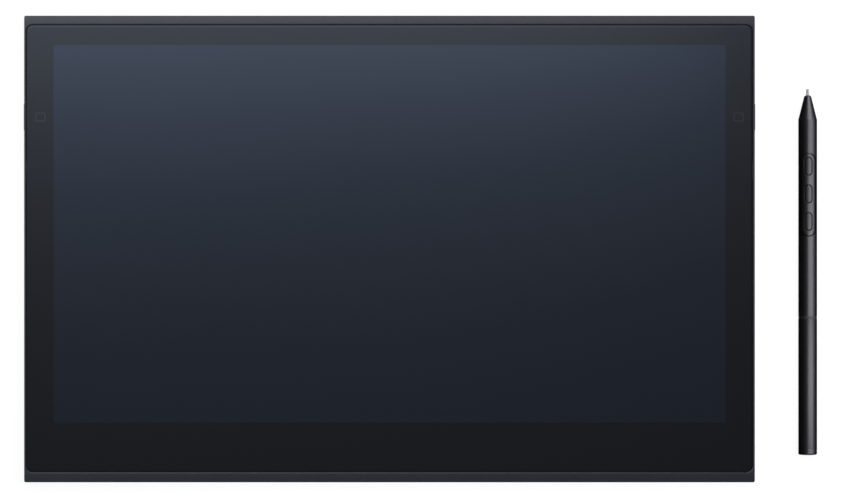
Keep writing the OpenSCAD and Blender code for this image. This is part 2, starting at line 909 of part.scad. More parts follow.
module side_button(side) {
    nub_x = key_flange_x - key_flange_t;
    color([0.15, 0.155, 0.175]) on_side(side) translate([0, key_y, key_z]) rotate([0, 90, 0]) {
        translate([0, 0, key_flange_x - key_flange_t])
            linear_extrude(half_w + key_proud - key_flange_x + key_flange_t) stadium(key_l, key_h);
        translate([0, 0, key_flange_x - key_flange_t])
            linear_extrude(key_flange_t) square([key_h, key_l + 2 * key_flange], center = true);
        translate([key_z - plunger_z, 0, switch_front_x + plunger_out])
            linear_extrude(nub_x - switch_front_x - plunger_out + key_flange_t / 2)
                square([plunger_h, plunger_w], center = true);
    }
}

module side_switch(side) {
    well = plunger_in + key_travel + bore_fit;
    color([0.1, 0.1, 0.11]) on_side(side)
        translate([switch_front_x, key_y, side_board_z + board_t]) difference() {
            translate([-switch_x, -switch_l / 2, 0]) cube([switch_x, switch_l, switch_h]);
            translate([-well, -plunger_w / 2 - slide_fit, switch_h / 2 - plunger_h / 2 - slide_fit])
                cube([well + over, plunger_w + 2 * slide_fit, plunger_h + 2 * slide_fit]);
        }
}

module side_plunger(side) {
    color([0.85, 0.85, 0.82]) on_side(side)
        translate([switch_front_x - plunger_in, key_y - plunger_w / 2, plunger_z - plunger_h / 2])
            cube([plunger_in + plunger_out, plunger_w, plunger_h]);
}

module key_light(side) {
    color([0.85, 0.88, 0.9]) on_side(side)
        translate([lens_x, key_y, glass_z - lens_t]) rounded_plate(lens_w, lens_w, lens_r, lens_t);
}

module key_leds() {
    color([0.95, 0.95, 0.85]) for (side = [-1, 1]) on_side(side)
        translate([lens_x - led_w / 2, led_y - led_l / 2, side_board_z + board_t])
            cube([led_w, led_l, led_h]);
}

// Feet and screws

module rubber_feet() {
    color([0.09, 0.09, 0.095]) at_places(foot_places(), 0) rotate(90) {
        linear_extrude(foot_h + foot_seat) stadium(foot_l - 2 * foot_lip, foot_w - 2 * foot_lip);
        translate([0, 0, foot_lip_h]) linear_extrude(foot_h + foot_seat - foot_lip_h)
            stadium(foot_l - 2 * seat_fit, foot_w - 2 * seat_fit);
    }
}

// Screw with a cross drive, its head resting at the height seat and its end at the height tip
module screw(seat, tip) {
    difference() {
        union() {
            translate([0, 0, seat]) cylinder(d = screw_head_d, h = screw_head_h);
            translate([0, 0, tip]) cylinder(d = screw_d, h = seat - tip + screw_head_h / 2);
        }
        translate([0, 0, seat + screw_head_h - drive_w / 2]) for (a = [0, 90]) rotate(a)
            cube([drive_l, drive_w, drive_w], center = true);
    }
}

module frame_screws() {
    color([0.3, 0.3, 0.32]) at_places(concat(side_tab_places(), end_tab_places()), 0)
        screw(frame_z + tab_t, floor_z + bore_fit);
}

module board_screws() {
    color([0.3, 0.3, 0.32]) {
        at_places(board_post_places(), 0) screw(board_top, floor_z + bore_fit);
        at_places(side_post_places(), 0) screw(side_board_z + board_t, floor_z + bore_fit);
    }
}

// Pen

// Lays the pen on the desk: local Z runs back from the tip, and local Y points up
module pen_place() {
    translate([pen_x, pen_tip_y, pen_r]) rotate([90, 0, 0]) children();
}

// A ring of wall between two radii, over a length of the barrel
module pen_tube(inner, outer, from, to) {
    translate([0, 0, from]) linear_extrude(to - from) difference() {
        circle(outer);
        if (inner > 0) circle(inner);
    }
}

// A shape drawn in X and length, carried up from the pen's axis at a distance from the tip
module upwards(from_tip, h) {
    translate([0, 0, from_tip]) rotate([-90, 0, 0]) linear_extrude(h) children();
}

module pen_shell_patch(from_tip, l, w, inner, outer) {
    intersection() {
        pen_tube(inner, outer, from_tip - l, from_tip + l);
        upwards(from_tip, 2 * pen_r) stadium(l, w);
    }
}

module pen_front_barrel() {
    hole_l = (nib_hole_r + cone_wall - cone_d / 2) / cone_slope;
    bore_start = nib_out + (bore_r + cone_wall - cone_d / 2) / cone_slope;
    well_l = plate_l + 2 * pen_key_gap;
    well_w = plate_w + 2 * pen_key_gap;
    color([0.08, 0.08, 0.085]) pen_place() difference() {
        rotate_extrude() polygon([
            [nib_hole_r, nib_out], [cone_d / 2 - cone_lip, nib_out],
            [cone_d / 2 + cone_slope * cone_lip, nib_out + cone_lip],
            [pen_r, cone_end], [pen_r, joint_from_tip], [bore_r, joint_from_tip],
            [bore_r, bore_start], [nib_hole_r, nib_out + hole_l]
        ]);
        pen_shell_patch(plate_from_tip, well_l, well_w, plate_seat_r, pen_r + over);
        upwards(plate_from_tip, 2 * pen_r) stadium(well_l - 2 * plate_step, well_w - 2 * plate_step);
    }
}

module pen_rear_barrel() {
    color([0.08, 0.08, 0.085]) pen_place()
        pen_tube(bore_r, pen_r, rear_start, cap_start - cap_groove);
}

module pen_end_cap() {
    end_r = (pow(pen_r, 2) + pow(cap_bulge, 2)) / (2 * cap_bulge);
    color([0.08, 0.08, 0.085]) pen_place() {
        rotate_extrude() difference() {
            intersection() {
                translate([0, cap_start]) square([pen_r, cap_l]);
                translate([0, pen_l - end_r]) circle(end_r, $fn = arc_facets);
            }
            translate([pen_r - cap_groove_depth, pen_l - cap_ring_l]) square([pen_r, cap_groove]);
            edge_cut([pen_r - cap_edge_r, pen_l - cap_bulge - cap_edge_r / 2], 0, 90, cap_edge_r);
            translate([-2 * pen_r, 0]) square([2 * pen_r, 2 * pen_l]);
        }
        pen_tube(0, pen_r - cap_groove_depth, cap_start - cap_groove, cap_start + lap);
        pen_tube(0, bore_r - bore_fit, cap_start - cap_spigot, cap_start);
    }
}

module nib(length) {
    rotate_extrude() difference() {
        union() {
            translate([0, nib_round]) square([nib_r, length - nib_round]);
            square([nib_r - nib_round, length]);
            translate([nib_r - nib_round, nib_round]) circle(nib_round);
        }
        translate([-pen_r, -over]) square([pen_r, length + 2 * over]);
    }
}

module pen_nib() {
    color([0.72, 0.73, 0.74]) pen_place() nib(nib_end);
}

module pen_ferrite_core() {
    color([0.22, 0.2, 0.19]) pen_place() pen_tube(core_hole_r, core_r, core_end - core_l, core_end);
}

module pen_coil() {
    color([0.7, 0.36, 0.15]) pen_place()
        pen_tube(core_r, coil_r, cradle_start + coil_front_inset, core_end - coil_rear_inset);
}

module pen_pressure_sensor() {
    color([0.8, 0.8, 0.78]) pen_place() {
        pen_tube(plunger_r + bore_fit, coil_r, sensor_start, sensor_start + sensor_well);
        pen_tube(0, coil_r, sensor_start + sensor_well - lap, sensor_end);
    }
}

module pen_pressure_plunger() {
    color([0.3, 0.3, 0.31]) pen_place()
        pen_tube(0, plunger_r, nib_end, sensor_start + plunger_seat);
}

// Cradle for the core and sensor, and a half-round deck behind it that carries the board
module pen_chassis() {
    color([0.16, 0.16, 0.17]) pen_place() {
        pen_tube(cradle_r, chassis_r, cradle_start, cradle_end);
        intersection() {
            pen_tube(0, chassis_r, cradle_end - lap, chassis_end);
            translate([-pen_r, deck_u - 2 * pen_r, 0]) cube([2 * pen_r, 2 * pen_r, pen_l]);
        }
    }
}

module pen_board() {
    color([0.05, 0.25, 0.14]) pen_place()
        translate([-pen_board_w / 2, deck_u, cradle_end + pen_board_margin])
            cube([pen_board_w, pen_board_t, chassis_end - cradle_end - 2 * pen_board_margin]);
}

function pen_key_at(i) = plate_from_tip - pen_key_lead + i * pen_key_pitch;

module pen_switches() {
    well_bottom = pen_board_top + pen_switch_h - pen_plunger_well;
    color([0.1, 0.1, 0.11]) pen_place() for (i = [-1:1]) difference() {
        translate([-pen_switch_w / 2, pen_board_top, pen_key_at(i) - pen_switch_l / 2])
            cube([pen_switch_w, pen_switch_h, pen_switch_l]);
        translate([0, well_bottom, 0]) upwards(pen_key_at(i), pen_plunger_well + over)
            circle(pen_plunger_r + slide_fit);
    }
}

module pen_plunger(i) {
    length = pen_plunger_out + pen_plunger_well - pen_key_travel - bore_fit;
    color([0.85, 0.85, 0.82]) pen_place() translate([0, pen_plunger_top - length, 0])
        upwards(pen_key_at(i), length) circle(pen_plunger_r);
}

module pen_button_plate() {
    window_l = pen_key_l + 2 * pen_key_gap;
    window_w = pen_key_w + 2 * pen_key_gap;
    color([0.075, 0.075, 0.08]) pen_place() difference() {
        pen_shell_patch(plate_from_tip, plate_l, plate_w, plate_seat_r, pen_r + plate_crown);
        for (i = [-1:1]) upwards(pen_key_at(i), 2 * pen_r) stadium(window_l, window_w);
    }
}

module pen_button(i) {
    flange_r = plate_seat_r - bore_fit;
    flange_l = pen_key_l + 2 * pen_key_flange;
    flange_w = pen_key_w + 2 * pen_key_flange;
    color([0.08, 0.08, 0.085]) pen_place() {
        pen_shell_patch(pen_key_at(i), pen_key_l, pen_key_w, flange_r - pen_key_flange_t, pen_key_top_r);
        pen_shell_patch(pen_key_at(i), flange_l, flange_w, flange_r - pen_key_flange_t, flange_r);
        translate([0, pen_plunger_top, 0])
            upwards(pen_key_at(i), flange_r - pen_key_flange_t / 2 - pen_plunger_top) circle(pen_plunger_r);
    }
}

// Plug that joins the two barrels, with a collar that shows between them, a groove for the seal
// ring and holes for spare nibs
module pen_joint_plug() {
    color([0.14, 0.14, 0.15]) pen_place() difference() {
        union() {
            pen_tube(0, plug_r, plug_start, plug_end);
            pen_tube(0, pen_r - collar_drop, collar_start, collar_start + collar_l);
        }
        translate([0, 0, ring_at]) rotate_extrude() translate([ring_centre_r, 0])
            translate([-ring_r - bore_fit, -ring_r - bore_fit])
                square([2 * ring_r + over, 2 * ring_r + 2 * bore_fit]);
        for (k = [0:store_count - 1]) rotate(90 + k * 360 / store_count)
            translate([store_r, 0, plug_end - store_depth])
                cylinder(r = nib_r + bore_fit, h = store_depth + over);
    }
}

module pen_seal_ring() {
    color([0.05, 0.05, 0.05]) pen_place() translate([0, 0, ring_at])
        rotate_extrude() translate([ring_centre_r, 0]) circle(ring_r);
}

module pen_spare_nibs() {
    color([0.12, 0.12, 0.13]) pen_place() for (k = [0:store_count - 1])
        rotate(90 + k * 360 / store_count)
            translate([store_r, 0, plug_end - store_depth + nib_end]) rotate([180, 0, 0]) nib(nib_end);
}

rear_housing();
mid_frame();
front_glass();
glass_tape();
bonding_film();
display_panel();
digitizer_sheet();
shield_plate();
main_board();
board_shield_cans();
controller_chips();
board_connectors();
display_ribbon();
digitizer_ribbon();
side_board(-1);  // side_board_left
side_board(1);  // side_board_right
side_ribbon(-1);  // side_ribbon_left
side_ribbon(1);  // side_ribbon_right
socket_shell(-1);  // socket_shell_left
socket_shell(1);  // socket_shell_right
socket_tongue(-1);  // socket_tongue_left
socket_tongue(1);  // socket_tongue_right
side_button(-1);  // side_button_left
side_button(1);  // side_button_right
side_switch(-1);  // side_switch_left
side_switch(1);  // side_switch_right
side_plunger(-1);  // side_plunger_left
side_plunger(1);  // side_plunger_right
key_light(-1);  // key_light_left
key_light(1);  // key_light_right
key_leds();
rubber_feet();
frame_screws();
board_screws();
pen_front_barrel();
pen_rear_barrel();
pen_end_cap();
pen_nib();
pen_ferrite_core();
pen_coil();
pen_pressure_sensor();
pen_pressure_plunger();
pen_chassis();
pen_board();
pen_switches();
pen_button_plate();
pen_button(-1);  // pen_button_front
pen_button(0);  // pen_button_middle
pen_button(1);  // pen_button_rear
pen_plunger(-1);  // pen_plunger_front
pen_plunger(0);  // pen_plunger_middle
pen_plunger(1);  // pen_plunger_rear
pen_joint_plug();
pen_seal_ring();
pen_spare_nibs();
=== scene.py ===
"""Slim pen display with its pressure pen lying beside it.

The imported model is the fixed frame. The housing, the pen's front barrel and the inner parts keep their
solids and get their finishes here. The cover glass with its printed marks, the side buttons, the socket
contacts, the feet and the pen's rear barrel, end cap, button plate, buttons and nib are surfaces worked out
with numpy and placed by the boxes of nodes. Lengths are metres. X runs to the right, Y away from the user
and Z up, and the desk is z = 0.
"""
import json
import math

import bmesh
import bpy
import numpy as np
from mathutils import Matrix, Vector


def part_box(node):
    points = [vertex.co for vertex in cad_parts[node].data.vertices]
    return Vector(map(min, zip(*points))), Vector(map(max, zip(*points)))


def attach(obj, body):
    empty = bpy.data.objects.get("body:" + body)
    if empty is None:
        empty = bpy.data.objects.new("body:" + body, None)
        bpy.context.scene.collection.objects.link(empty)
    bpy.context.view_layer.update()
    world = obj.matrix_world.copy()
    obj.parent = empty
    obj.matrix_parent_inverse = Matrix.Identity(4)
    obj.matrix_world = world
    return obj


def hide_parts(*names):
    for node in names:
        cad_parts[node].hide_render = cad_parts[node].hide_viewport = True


bl_info = {
    "name": "Pen display looks",
    "version": (1, 0, 0),
    "blender": (4, 5, 0),
    "location": "View3D > Sidebar > Pen display",
    "description": "Finishes, glass, buttons and stage for a slim pen display and its pen",
    "category": "Object",
}

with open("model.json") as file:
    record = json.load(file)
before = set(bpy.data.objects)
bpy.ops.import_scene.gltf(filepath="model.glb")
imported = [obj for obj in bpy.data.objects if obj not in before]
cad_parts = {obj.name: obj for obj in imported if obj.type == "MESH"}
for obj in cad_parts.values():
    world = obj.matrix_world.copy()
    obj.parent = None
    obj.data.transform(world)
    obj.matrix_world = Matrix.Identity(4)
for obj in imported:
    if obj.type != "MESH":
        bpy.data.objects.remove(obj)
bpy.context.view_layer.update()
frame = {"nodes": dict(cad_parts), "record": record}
NODES = frame["nodes"]
SLOTS = {part["node"]: part["material_slot"] for part in frame["record"]["subparts"]}
PEN_BODIES = ("pen", "nib", "front_pen_button", "middle_pen_button", "rear_pen_button", "pen_rear")
MM = 0.001
MERGE_DISTANCE = 1e-7
TINY = 1e-9
CONTACTS_IN_ROW = 12


# Sizes, colours and stage values


def length(name, description, default):
    """A length property in metres."""
    return bpy.props.FloatProperty(
        name=name, description=description, default=default, unit="LENGTH", precision=5)


def number(name, description, default):
    """A plain number property."""
    return bpy.props.FloatProperty(name=name, description=description, default=default, precision=3)


def colour(name, description, default):
    """A linear colour property."""
    return bpy.props.FloatVectorProperty(
        name=name, description=description, default=default, subtype="COLOR", size=3, min=0, max=1)


class TabletSizes(bpy.types.PropertyGroup):
    """Small forms of the tablet that the solids leave sharp."""

    glass_corner: length("Glass corner", "Corner radius of the cover glass", 2.8 * MM)
    glass_edge: length("Glass edge", "Radius of the ground front edge of the glass", 0.4 * MM)
    panel_border: length("Panel border", "Clear border of the panel round the picture", 2.4 * MM)
    panel_foot: length("Panel foot", "Extra panel below the picture", 4.6 * MM)
    picture_edge: length("Picture edge", "Width over which the print gives way to the picture", 0.25 * MM)
    mark_width: length("Mark width", "Width of the mark printed over a touch key", 4.5 * MM)
    mark_depth: length("Mark depth", "Depth of the mark printed over a touch key", 4.0 * MM)
    mark_line: length("Mark line", "Width of the mark's line", 0.5 * MM)
    mark_corner: length("Mark corner", "Corner radius of the mark", 0.9 * MM)
    mark_height: length("Mark height", "Thickness of the ink of the mark", 0.02 * MM)
    key_length: length("Key length", "Length of a side button's face", 11.8 * MM)
    key_flange: length("Key flange", "Thickness of the flange behind a side button", 1.2 * MM)
    key_edge: length("Key edge", "Radius round the face of a side button", 0.15 * MM)
    key_crown: length("Key crown", "Rise of the middle of a side button's face", 0.05 * MM)
    foot_length: length("Foot length", "Length of a rubber foot", 35.8 * MM)
    foot_width: length("Foot width", "Width of a rubber foot", 6.8 * MM)
    foot_edge: length("Foot edge", "Radius round the sole of a rubber foot", 0.35 * MM)
    tongue_height: length("Tongue height", "Thickness of a socket's tongue at its contacts", 0.7 * MM)
    contact_length: length("Contact length", "Length of a contact", 3.6 * MM)
    contact_width: length("Contact width", "Width of a contact", 0.26 * MM)
    contact_pitch: length("Contact pitch", "Distance between contacts", 0.5 * MM)
    contact_height: length("Contact height", "Height of a contact above the tongue", 0.04 * MM)
    contact_corner: length("Contact corner", "Corner radius of a contact", 0.08 * MM)
    contact_edge: length("Contact edge", "Chamfer of a contact, and its depth in the tongue", 0.02 * MM)
    contact_setback: length("Contact setback", "Distance of the contacts from the tongue's tip", 0.5 * MM)


class PenSizes(bpy.types.PropertyGroup):
    """Small forms of the pen that the solids leave sharp."""

    key_edge: length("Key edge", "Radius round the face of a pen button", 0.35 * MM)
    key_crown: length("Key crown", "Fall of a pen button's face towards its edge", 0.048 * MM)
    key_flange: length("Key flange", "Width of the flange that holds a button behind its plate", 0.42 * MM)
    key_flange_height: length("Flange height", "Thickness of that flange", 0.4 * MM)
    key_gap: length("Key gap", "Open gap round a button in its plate", 0.2 * MM)
    plate_height: length("Plate height", "Depth of the plate's underside below the barrel's face", 0.6 * MM)
    plate_edge: length("Plate edge", "Radius of the edge round the button plate", 0.45 * MM)
    window_edge: length("Window edge", "Radius of the edges of the plate's windows", 0.14 * MM)
    key_seat: length("Key seat", "Room between a button's flange and the plate", 0.05 * MM)
    seam_edge: length("Seam edge", "Radius of the barrel's edges at its seams", 0.05 * MM)
    bore: length("Bore", "Radius of the barrel's bore", 3.1 * MM)
    grip_reach: length("Grip reach", "Distance from the plate's middle that fingers smooth", 22 * MM)
    spigot_fit: length("Spigot fit", "Room round the end cap's spigot in the bore", 0.05 * MM)
    cap_edge: length("Cap edge", "Radius round the rear end of the pen", 0.7 * MM)
    cap_bulge: length("Cap bulge", "Rise of the middle of the rear end", 0.2 * MM)
    cap_groove: length("Cap groove", "Width of the ring grooves at their bottom", 0.03 * MM)
    cap_groove_edge: length("Groove edge", "Chamfer along the ring grooves", 0.08 * MM)
    cap_groove_depth: length("Groove depth", "Depth of the ring grooves at the rear end", 0.1 * MM)
    cap_ring: length("Cap ring", "Length of the cap behind its groove", 1.9 * MM)
    nib_round: length("Nib round", "Radius round the blunt tip of the nib", 0.32 * MM)
    nib_wear: length("Nib wear", "Rise of the middle of the tip", 0.06 * MM)
    nib_scuff: length("Nib scuff", "Length of the scuffed tip", 0.9 * MM)
    nib_chamfer: length("Nib chamfer", "Chamfer round the nib's inner end", 0.1 * MM)


class FinishColours(bpy.types.PropertyGroup):
    """Base colours of the finishes that show, linear."""

    housing: colour("Housing", "Dark satin coat of the housing", (0.0372, 0.0402, 0.0525))
    side_key: colour("Side button", "Satin coat of the side buttons", (0.032, 0.033, 0.038))
    glass_print: colour("Glass print", "Reflection of the print behind the border", (0.012, 0.016, 0.025))
    panel: colour("Unlit panel", "Reflection of the unlit picture area", (0.0188, 0.0294, 0.053))
    mark: colour("Touch key mark", "Grey ink of the touch key marks", (0.0205, 0.0255, 0.0365))
    rubber: colour("Feet", "Rubber of the feet", (0.012, 0.012, 0.013))
    barrel: colour("Pen barrel", "Satin black of the pen", (0.0042, 0.0042, 0.0048))
    collar: colour("Pen collar", "Matt plug and collar between the barrels", (0.012, 0.012, 0.013))
    nib: colour("Nib", "Light grey nib", (0.24, 0.245, 0.25))
    steel: colour("Sheet metal", "Socket shells and shields", (0.42, 0.42, 0.43))
    gold: colour("Contacts", "Gilt contacts of the sockets", (0.62, 0.40, 0.13))
    board: colour("Boards", "Solder mask of the circuit boards", (0.006, 0.045, 0.022))
    copper: colour("Ribbons", "Film of the ribbon cables", (0.36, 0.15, 0.03))


class StageSettings(bpy.types.PropertyGroup):
    """Camera, lamps and floor."""

    lens: number("Lens", "Focal length in millimetres", 200)
    sensor: number("Sensor", "Width of the sensor in millimetres", 36)
    view_width: length("View width", "Width of what the camera sees at the front of the glass", 368.25 * MM)
    view_shift: length("View shift", "Middle of the view, to the right of the tablet's middle", 13.58 * MM)
    key_power: number("Key power", "Power of the softbox beyond the tablet, in watts", 10.7)
    side_power: number("Side power", "Power of the softbox that lights the pen, in watts", 12.5)
    low_power: number("Low power", "Power of the low softbox at the pen's right, in watts", 4)
    nose_power: number("Nose power", "Power of the softbox that lights the pen's cone, in watts", 14)
    world_level: number("World level", "Brightness of the dim room", 0.185)
    world_tone: colour("World tone", "Tone of the dim room", (1, 0.97, 0.98))
    floor_glow: number("Floor glow", "Share of the floor's white that no shadow reaches", 0.93)
    floor_radius: length("Floor radius", "Radius of the round floor", 4.0)
    floor_bend: length("Floor bend", "Radius of the sweep from the floor to its rim", 0.45)
    wall_height: length("Wall height", "Height of the low rim of the floor", 0.75)
    flag_gap: length("Flag gap", "Room between the pen and the foot of a black card", 0.9 * MM)
    flag_foot: length("Flag foot", "Height of the foot of a black card", 0.2 * MM)
    flag_near: length("Flag near end", "Place along Y of the black cards' near end", -0.12)
    flag_far: length("Flag far end", "Place along Y of the black cards' far end", 0.1)


GROUPS = {"tablet": TabletSizes, "pen": PenSizes, "colours": FinishColours, "stage": StageSettings}


def values(group):
    """The scene's copy of one property group."""
    return getattr(bpy.context.scene, "pen_display_" + group)


# Surfaces: rings of points, with the shape (islands, rings, points, 3)


def outline(width, depth, radius, steps=14, quarter=None):
    """Points and outward normals of a rounded rectangle about the origin, counter-clockwise.

    Each corner is a quarter circle of the radius about a centre that lies the radius in from both sides.
    The directions of the first quarter, in degrees, are even unless they are given.
    """
    half = np.array([width, depth]) / 2
    radius = min(radius, half.min() * 0.999)
    quarter = np.linspace(0, 90, steps) if quarter is None else np.asarray(quarter)
    turn = np.radians(np.concatenate([quarter, 180 - quarter[::-1], 180 + quarter, 360 - quarter[::-1]]))
    normals = np.stack([np.cos(turn), np.sin(turn)], 1)
    corner = np.repeat([[1, 1], [-1, 1], [-1, -1], [1, -1]], len(quarter), 0)
    return corner * (half - radius) + radius * normals, normals


def carried(points, normals, profile):
    """Rings of an outline carried along a profile: each row moves it in by an inset and up to a height."""
    inset, height = np.asarray(profile, float).T
    flat = points - inset[:, None, None] * normals
    level = np.broadcast_to(height[:, None, None], flat.shape[:2] + (1,))
    return np.concatenate([flat, level], 2)[None]


def rounded_edge(inset, height, radius, count=7):
    """Profile rows of a quarter circle from a wall at the inset up to a face at the height."""
    turn = np.linspace(0, math.pi / 2, count)
    return [(inset + radius * (1 - math.cos(a)), height - radius * (1 - math.sin(a))) for a in turn]


def revolved(profile, axis, steps=128):
    """Rings of a solid turned about a line along Y: profile rows are a radius and a place along Y."""
    radius, along = np.asarray(profile, float).T
    turn = np.linspace(0, 2 * math.pi, steps, endpoint=False)
    ring = np.stack([np.cos(turn), np.zeros(steps), np.sin(turn)], 1)
    rings = radius[:, None, None] * ring + along[:, None, None] * np.array([0, 1, 0])
    return (rings + np.array([axis[0], 0, axis[1]]))[None]


def copies(rings, places):
    """The same rings at each place, as islands."""
    return (rings + np.asarray(places, float)[:, None, None, None, :]).reshape((-1,) + rings.shape[1:])


def quads_between(low, high):
    """Quads from each side of the low rings up to the same side of the high rings."""
    return np.stack([low, np.roll(low, -1, -1), np.roll(high, -1, -1), high], -1).reshape(-1, 4)


def faces_of(rings, closed):
    """Quads between neighbouring rings of each island, and a face over each open end."""
    index = np.arange(rings[..., 0].size).reshape(rings.shape[:3])
    if closed:
        return quads_between(index, np.roll(index, -1, 1)).tolist()
    ends = np.concatenate([index[:, 0, ::-1], index[:, -1]])
    return quads_between(index[:, :-1], index[:, 1:]).tolist() + ends.tolist()


def add_mesh(name, points, faces, material, outward=False):
    """A smooth object of points and faces, with its seams merged and, if asked, its faces outward."""
    mesh = bpy.data.meshes.new(name)
    mesh.from_pydata(points.reshape(-1, 3).tolist(), [], faces)
    work = bmesh.new()
    work.from_mesh(mesh)
    bmesh.ops.remove_doubles(work, verts=work.verts, dist=MERGE_DISTANCE)
    if outward:
        bmesh.ops.recalc_face_normals(work, faces=work.faces)
    work.to_mesh(mesh)
    work.free()
    mesh.shade_smooth()
    mesh.materials.append(material)
    made = bpy.data.objects.new(name, mesh)
    bpy.context.scene.collection.objects.link(made)
    return made


def add_piece(name, rings, material, body, stands_for=(), closed=False, sharp=40, faces=None):
    """A piece from rings, sharp at edges past an angle, that rides on a body and may stand for nodes."""
    faces = faces_of(rings, closed) if faces is None else faces
    piece = add_mesh(name, rings, faces, material, outward=True)
    piece.data.set_sharp_from_angle(angle=math.radians(sharp))
    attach(piece, body)
    light(piece, body)
    if stands_for:
        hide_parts(*stands_for)
    return piece


def light(piece, body):
    """Puts a piece among those that the softboxes of the tablet or of the pen light."""
    group = "pen_lit" if body in PEN_BODIES else "tablet_lit"
    bpy.data.collections[group].objects.link(piece)


def dress(material, *slots):
    """Gives a finish to every node of these material slots."""
    for node, slot in SLOTS.items():
        if slot in slots:
            NODES[node].material_slots[0].material = material


# Finishes


class Wire:
    """A shader value: arithmetic on it adds Math nodes to its finish."""

    def __init__(self, finish, socket):
        self.finish = finish
        self.socket = socket

    def math(self, operation, *values):
        """One Math node with this value first."""
        inputs = dict(enumerate((self, *values)))
        return self.finish.node("ShaderNodeMath", {"operation": operation}, inputs)

    def __add__(self, other):
        return self.math("ADD", other)

    def __radd__(self, other):
        return self.math("ADD", other)

    def __sub__(self, other):
        return self.math("SUBTRACT", other)

    def __rsub__(self, other):
        return self.finish.node("ShaderNodeMath", {"operation": "SUBTRACT"}, {0: other, 1: self})

    def __mul__(self, other):
        return self.math("MULTIPLY", other)

    def __rmul__(self, other):
        return self.math("MULTIPLY", other)

    def __truediv__(self, other):
        return self.math("DIVIDE", other)

    def __abs__(self):
        return self.math("ABSOLUTE")

    def clamp(self):
        """The value kept between 0 and 1."""
        return self.finish.node("ShaderNodeClamp", {}, {"Value": self})


class Finish:
    """A node material under construction."""

    def __init__(self, name):
        self.material = bpy.data.materials.new(name)
        self.material.use_nodes = True
        self.tree = self.material.node_tree
        self.tree.nodes.clear()

    def node(self, kind, settings, inputs, output=0):
        """Adds a node: its settings first, then the values or links of its sockets. Returns one output."""
        made = self.tree.nodes.new(kind)
        for key, value in settings.items():
            setattr(made, key, value)
        for key, value in inputs.items():
            if isinstance(value, Wire):
                self.tree.links.new(value.socket, made.inputs[key])
            else:
                made.inputs[key].default_value = value
        return Wire(self, made.outputs[output]) if len(made.outputs) else None

    def place(self):
        """Object coordinates."""
        return self.node("ShaderNodeTexCoord", {}, {}, "Object")

    def axis(self, vector):
        """The X, Y and Z of a vector, as three values."""
        split = self.node("ShaderNodeSeparateXYZ", {}, {"Vector": vector})
        return [Wire(self, socket) for socket in split.socket.node.outputs]

    def noise(self, scale, detail=2.0, stretch=(1, 1, 1)):
        """Noise of so many cells a metre, 0 to 1, drawn out along an axis where its stretch is small."""
        place = self.node("ShaderNodeMapping", {}, {"Vector": self.place(), "Scale": stretch})
        return self.node("ShaderNodeTexNoise", {}, {"Vector": place, "Scale": scale, "Detail": detail})

    def blend(self, share, first, second):
        """A colour between two colours."""
        inputs = {0: share, 6: tint(first), 7: tint(second)}
        return self.node("ShaderNodeMix", {"data_type": "RGBA"}, inputs, 2)

    def bump(self, height, strength, distance):
        """A bumped normal from a height."""
        inputs = {"Strength": strength, "Distance": distance, "Height": height}
        return self.node("ShaderNodeBump", {}, inputs)

    def surface(self, **inputs):
        """The Principled surface and the output: socket names with underscores for spaces."""
        sockets = {key.replace("_", " "): value for key, value in inputs.items()}
        shader = self.node("ShaderNodeBsdfPrincipled", {}, sockets)
        self.node("ShaderNodeOutputMaterial", {}, {"Surface": shader})
        return self.material


def tint(value, level=1.0):
    """A colour as a socket takes it, or a wire as it is."""
    if isinstance(value, Wire):
        return value
    return tuple(channel * level for channel in value[:3]) + (1.0,)


def satin_coat(name, base):
    """Fine dark powder coat on metal: close grain, with a faint cloud in its depth and gloss."""
    finish = Finish(name)
    grain = finish.noise(5200, 3)
    cloud = finish.noise(42, 3)
    return finish.surface(
        Base_Color=finish.blend(cloud, tint(base, 0.88), tint(base, 1.12)),
        Roughness=0.34 + 0.08 * cloud + 0.06 * grain,
        Normal=finish.bump(grain, 0.22, 0.02 * MM),
        IOR=1.37)


def cover_glass(sizes, colours):
    """Etched glass: black print behind its border, and the dark blue unlit panel behind the picture."""
    low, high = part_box("display_panel")
    middle = (low.y + sizes.panel_foot + high.y) / 2
    half_width = high.x - sizes.panel_border
    half_depth = (high.y - low.y - sizes.panel_foot) / 2 - sizes.panel_border
    finish = Finish("cover_glass_etched")
    x, y, _ = finish.axis(finish.place())
    across = ((half_width - abs(x)) / sizes.picture_edge).clamp()
    along = ((half_depth - abs(y - middle)) / sizes.picture_edge).clamp()
    picture = across * along
    cloud = finish.noise(9, 2)
    etch = finish.noise(3800, 2)
    panel = finish.blend(cloud, tint(colours.panel, 0.9), tint(colours.panel, 1.1))
    return finish.surface(
        Base_Color=finish.blend(picture, tint(colours.glass_print), panel),
        Metallic=1.0,
        Roughness=0.29 + 0.04 * etch,
        Normal=finish.bump(etch, 0.05, 0.01 * MM),
        Coat_Weight=1.0,
        Coat_Roughness=0.31,
        Coat_IOR=1.4)


def ink(name, base):
    """Grey screen ink with a fine tooth."""
    finish = Finish(name)
    tooth = finish.noise(6000, 2)
    return finish.surface(
        Base_Color=finish.blend(tooth, tint(base, 0.9), tint(base, 1.1)),
        Roughness=0.3 + 0.1 * tooth,
        Normal=finish.bump(tooth, 0.1, 0.01 * MM))


def barrel_coat(name, base, roughness, grip=None):
    """Soft satin black on moulded plastic, a little smoother where the fingers hold it.

    The grip is the place of its middle along Y and how far it reaches from there.
    """
    finish = Finish(name)
    grain = finish.noise(7000, 3)
    cloud = finish.noise(120, 3)
    gloss = roughness + 0.05 * cloud + 0.04 * grain
    if grip is not None:
        middle, reach = grip
        _, y, _ = finish.axis(finish.place())
        held = (1 - abs(y - middle) / reach).clamp()
        gloss = gloss - 0.012 * held
    return finish.surface(
        Base_Color=finish.blend(cloud, tint(base, 0.85), tint(base, 1.15)),
        Roughness=gloss,
        Normal=finish.bump(grain, 0.12, 0.01 * MM),
        IOR=1.5)


